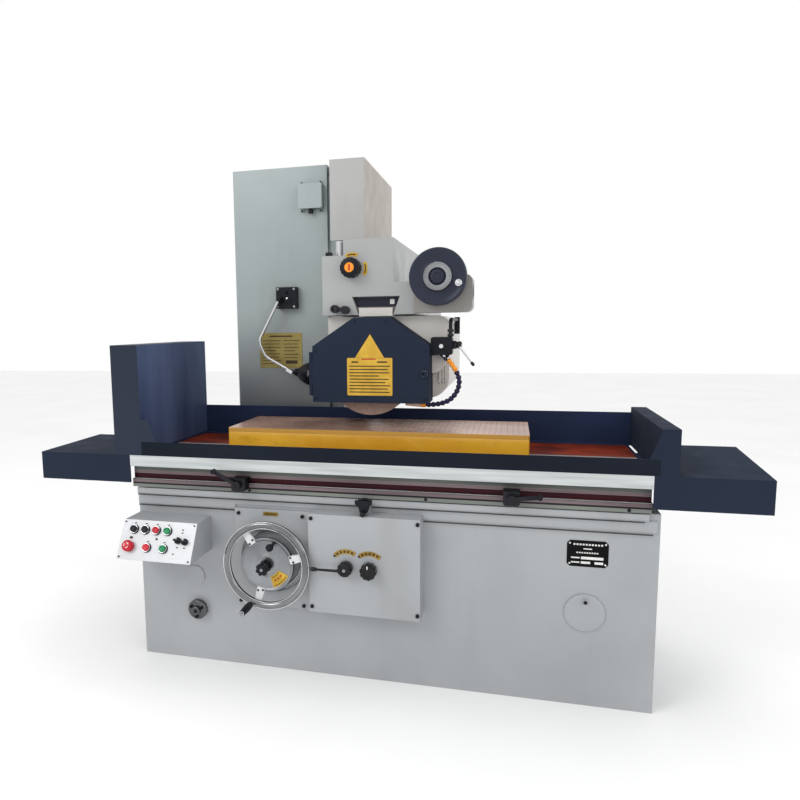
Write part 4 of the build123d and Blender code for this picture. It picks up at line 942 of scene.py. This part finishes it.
rubber_black = plastic("valve black", rgb(24, 24, 28), rgb(15, 15, 18), 0.42)
edit = bmesh.new()
down = (Vector(hose_points[1]) - Vector(hose_points[0])).normalized()
start = Vector(hose_points[0])
lathe(edit, [(11.2, -14), (13.2, -12), (13.2, -1), (11.6, 0)], start, down, 6, 1)
lathe(edit, [(11.2, -22), (12.4, -21), (12.4, -16), (11.2, -15)], start, down, 36, 1)
for height in (1.113, 1.128):
    profile = [(6.2, 0), (10.6, 0), (11, 1), (11, 9), (10.4, 10), (6.2, 10)]
    lathe(edit, profile, (0.214, hose_points[0][1], height), Z, 6)
profile = [(11.2, 0), (14.2, 0), (14.6, 1), (14.6, 10), (14, 11), (11.2, 11)]
valve_y, valve_z = 0.022, 1.085
lathe(edit, profile, (0.2225, valve_y, valve_z), X, 6)
for x, z in ((0.160, 1.100), (0.210, 1.064)):
    screw_head(edit, (x, 0.0, z), -Y, 5.2, 5, 0, 0)
plate(edit, rectangle(-11, 11, -10, 10, 3), (0.186, 0.0, 1.082), X, Z, 6, 1)
lathe(edit, [(8.5, 0), (8.5, 4), (7.5, 6), (0, 6)], (0.186, -0.006, 1.082), -Y, 6, 1)
finish_mesh("valve_fittings", edit, [rubber_black, chrome], "wheelhead")

edit = bmesh.new()
foot, hand = Vector((0.245, 0.016, 1.079)), Vector((0.290, 0.008, 1.020))
reach = hand - foot
shaft = [foot, foot + reach * 0.1, foot + reach * 0.5, foot + reach * 0.92]
tube(edit, shaft, [0.0048, 0.0038, 0.0032, 0.0030], 24, 0)
grip_profile = [(3, 0), (4.6, 2), (5.4, 6), (5.5, 10), (4.6, 13.8), (2.8, 15.5), (0, 16)]
lathe(edit, grip_profile, foot + reach * 0.86, reach.normalized(), 24, 1)
profile = [(5.2, 0), (11.2, 0), (12, 1.2), (12, 10), (10.8, 11.8), (5.2, 12)]
lathe(edit, profile, (0.239, valve_y, valve_z), X, 40, 1)
lathe(edit, [(6.2, 0), (6.2, 2.8), (5, 3.6), (0, 3.6)], (0.2505, valve_y, valve_z), X, 6)
piece = finish_mesh("valve_handle", edit, [chrome, rubber_black], "valve_lever")
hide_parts("valve_lever")

# ---- guard latch and hinge details ----

edit = bmesh.new()
latch = (0.136, -0.046, 0.992)
profile = [(11.2, 11.5), (11.2, 11.8), (8, 12), (7, 12), (7, 10), (0, 9.8)]
lathe(edit, profile, latch, -Y, 32)
plate(edit, rectangle(-16.5, 0, -2.2, 2.2, 1), (latch[0], latch[1] - 0.0105, latch[2]), X, Z, 1.5, 0.4, 1)
door_corners = [(-0.240, 1.068), (-0.240, 0.906), (0.138, 0.906), (0.138, 1.068)]
for x, z in door_corners + [(-0.100, 1.168), (0.008, 1.168)]:
    screw_head(edit, (x, -0.046, z), -Y, 4.2, 2.6, 1, 1)
finish_mesh("door_screws", edit, [chrome, navy_paint], "guard_door")

# ---- work lamp ----

edit = bmesh.new()
lamp_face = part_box("lamp_mount")[0].y + 0.027
for x in (-0.504, -0.436):
    for z in (1.233, 1.303):
        screw_head(edit, (x, lamp_face, z), -Y, 4.2, 3, 1, 0)
plate(edit, rectangle(-16, 16, -12, 12, 3), (-0.462, lamp_face, 1.262), X, Z, 3, 1)
profile = [(5.2, 0), (4.8, 2), (3.6, 11), (0, 12)]
lathe(edit, profile, (-0.462, lamp_face - 0.003, 1.262), Z * 0.5 - Y, 20, 1)
profile = [(12.5, 0), (12.5, 6), (11.5, 9), (9, 9.5)]
lathe(edit, profile, (-0.494, lamp_face, 1.262), -Y, 32)
finish_mesh("lamp_switch", edit, [black_plastic, chrome], "machine")

edit = bmesh.new()
tilt = radians(-5.0)
out = Vector((cos(tilt), 0.0, sin(tilt)))
pivot = Vector((-0.447, 0.318, 0.971))
for inner, at in ((44.8, 0.0770), (45.4, 0.0745)):
    lathe(edit, ring_profile(inner, 0.9, 8), pivot + out * at, out, 72)
glow = plastic("lamp glass", rgb(232, 232, 224), rgb(214, 214, 206), 0.2, 0.02)
profile = [(12, 31.5), (12, 40), (16.5, 46), (20, 55), (18.5, 64), (12, 70), (0, 72.5)]
lathe(edit, profile, pivot, out, 40, 1)
for at, inner in ((0.018, 13.4), (0.021, 14.6), (0.024, 15.8)):
    lathe(edit, ring_profile(inner, 0.8, 8), pivot + out * at, out, 48)
finish_mesh("lamp_details", edit, [black_steel, glow], "lamp_head")

# ---- small screws and covers on the machine ----

edit = bmesh.new()
for x in (-0.404, -0.326):
    for z in (1.6075, 1.7165):
        screw_head(edit, (x, column_face - 0.005, z), -Y, 3.6, 4, 0, 0)
profile = [(7.5, 0), (7.5, 4), (9.5, 5), (9.5, 16), (8, 18), (0, 18)]
lathe(edit, profile, (-0.365, 0.352, 1.614), -Z, 24)
finish_mesh("box_fixings", edit, [black_steel], "machine")

edit = bmesh.new()
for x in (-0.415, 0.166, 0.747):
    lathe(edit, [(5.6, 0), (5.4, 0.2), (0, 0.2)], (x, -0.250, 0.6185), -Y, 20)
finish_mesh("table_screws", edit, [black_steel], "table")

edit = bmesh.new()
plate(edit, rectangle(-20, 20, -26, 26, 8), (0.2835, 0.070, 1.262), Y, Z, 2.4, 0.8)
# the dark inner plate is painted shade standing for the slot's opening
plate(edit, rectangle(-9, 9, -18, 18, 8), (0.2859, 0.068, 1.262), Y, Z, 1, 0, 1)
finish_mesh("gear_cover_slot", edit, [shaded_housing_paint, black_steel], "carriage")

# bearing cap and stiffening ribs on the front of the wheelhead, beside the guard
edit = bmesh.new()
cap_place = (0.152, 0.075, 1.028)
profile = [(0, 30), (20, 30), (24, 27), (40, 26), (42.5, 22), (42.5, 0), (0, 0)]
lathe(edit, profile[::-1], cap_place, -Y, 72)
for x, width in ((0.176, 4.5), (0.186, 3.5), (0.194, 3.0)):
    plate(edit, rectangle(-width, width, 952, 1048, 3), (x, 0.075, 0.0), X, Z, 10, 1.5)
finish_mesh("bearing_cap", edit, [head_paint], "wheelhead")

worn_steel = metal("worn steel", rgb(136, 130, 130), rgb(104, 98, 100), 0.42)
edit = bmesh.new()
slide_face = 0.069
# the dark plate is painted shade for the dovetail slot's opening, the pale square in it the gib's end, the
# steel plate below the dovetail base
outline = [(-125.5, 1250.5), (-116.5, 1218.5), (28.5, 1218.5), (37.5, 1250.5)]
plate(edit, outline, (0.0, slide_face, 0.0), X, Z, 8, 1.2)
plate(edit, rectangle(2, 18, 1226.5, 1243.5, 2), (0.0, slide_face - 0.008, 0.0), X, Z, 1.2, 0.4, 1)
outline = [(-115.5, 1218), (-106, 1191), (18, 1191), (27.5, 1218)]
plate(edit, outline, (0.0, slide_face - 0.012, 0.0), X, Z, 4, 1.2, 2)
finish_mesh("slot_shade_and_slide_base", edit, [slot_shade_black, white_print, worn_steel], "wheelhead")


# dark strips of painted shadow in the gaps under the bed's strips and beside the valve box, and the drain
# fitting
fitting_grey = metal("fitting grey", rgb(104, 106, 108), rgb(70, 72, 74), 0.36)
gap_shadow_grey = plastic("painted gap shadow", rgb(64, 66, 67), rgb(50, 52, 53), 0.7, 0.05)
edit = bmesh.new()
bed_front = bed_face - 0.010
plate(edit, rectangle(-831, 790, 582.5, 586.2), (0.0, bed_front - 0.0038, 0.0), X, Z, 1.2)
plate(edit, rectangle(-831, -473, 545, 549), (0.0, bed_front, 0.0), X, Z, 1.2)
plate(edit, rectangle(158, 814, 545, 549), (0.0, bed_front, 0.0), X, Z, 1.2)
plate(edit, rectangle(-207.5, -203.5, 222, 556), (0.0, plate_face, 0.0), X, Z, 1)
finish_mesh("bed_gap_shadows", edit, [gap_shadow_grey], "machine")

drain = (-0.619, bed_front, 0.188)
edit = bmesh.new()
profile = [(0, 26.5), (12.5, 26.5), (14.5, 25), (14.5, 15.5), (29, 15), (31.5, 14)]
profile += [(33.8, 11.5), (33.8, 0), (0, 0)]
lathe(edit, profile[::-1], drain, -Y, 60)
for k in range(3):
    a = radians(30 + 120 * k)
    spot = (drain[0] + 0.023 * cos(a), bed_front - 0.014, drain[2] + 0.023 * sin(a))
    screw_head(edit, spot, -Y, 5.4, 7, 1, 1)
lathe(edit, [(0, 27.6), (7, 27.6), (8.2, 26.4), (8.2, 25.5)][::-1], drain, -Y, 6, 1)
finish_mesh("drain_fitting", edit, [fitting_grey, black_steel], "machine")

edit = bmesh.new()
lathe(edit, [(5.8, 0), (5.6, 0.8), (0, 0.9)], (0.638, bed_front - 0.009, 0.332), -Y, 24)
finish_mesh("port_cover_screw", edit, [black_steel], "machine")

# turned pin and a small dark block seen in the notch between the way cover and the carriage
edit = bmesh.new()
lathe(edit, [(0, 0), (17, 0), (17, 52), (0, 52)], (-0.180, 0.085, 1.3965), Z, 48)
plate(edit, rectangle(-226, -202, 1396.2, 1410, 3), (0.0, 0.064, 0.0), X, Z, 12, 1, 1)
finish_mesh("notch_pin", edit, [bright_steel, black_steel], "carriage")

# forged arm of the reversing lever, over its hub
edit = bmesh.new()
outline = [(-27, 30), (-27, 17), (-17, 11), (-13, -1), (-13, -7)]
outline += [(14, -7), (15, 6), (18, 12), (27, 18), (27, 30)]
plate(edit, outline, (-0.022, -0.2865, 0.585), X, Z, 6, 1.2)
finish_mesh("reversing_arm", edit, [black_plastic], "reversing_lever")

# ---- floor and lights ----

floor_mesh = bpy.data.meshes.new("floor")
floor_edit = bmesh.new()
bmesh.ops.create_grid(floor_edit, x_segments=2, y_segments=2, size=14.0)
floor_edit.to_mesh(floor_mesh)
floor_edit.free()
floor = bpy.data.objects.new("floor", floor_mesh)
scene.collection.objects.link(floor)
floor_material, floor_tree, floor_surface = new_material("floor", 0.65, specular=0.25)
floor_shades = (0.88, 0.88, 0.88, 1.0), (0.92, 0.92, 0.92, 1.0)
feed(floor_tree, floor_surface, mottle(floor_tree, 1.3, 3.0, *floor_shades))
floor_mesh.materials.append(floor_material)


def area_light(name, place, target, size, power, tint=EVEN):
    data = bpy.data.lights.new(name, "AREA")
    data.shape = "RECTANGLE"
    data.size = size[0]
    data.size_y = size[1]
    data.energy = power
    data.color = tint
    light = bpy.data.objects.new(name, data)
    scene.collection.objects.link(light)
    light.location = place
    light.rotation_mode = "QUATERNION"
    light.rotation_quaternion = (Vector(target) - Vector(place)).to_track_quat("-Z", "Y")


area_light("key light", (-2.6, -3.4, 3.6), (-0.1, 0.1, 0.8), (2.4, 2.0), 70.0, (1.0, 0.99, 0.97))
area_light("fill light", (3.2, -2.8, 2.2), (0.1, 0.1, 0.8), (2.4, 2.0), 22.0, (0.96, 0.98, 1.0))
area_light("top light", (0.2, 0.6, 4.6), (0.0, 0.1, 0.8), (3.0, 2.4), 25.0)
world = bpy.data.worlds.new("studio")
world.use_nodes = True
constants(world.node_tree.nodes["Background"], Color=(1.0, 1.0, 1.0, 1.0), Strength=1.0)
scene.world = world
scene.view_settings.view_transform = "Standard"
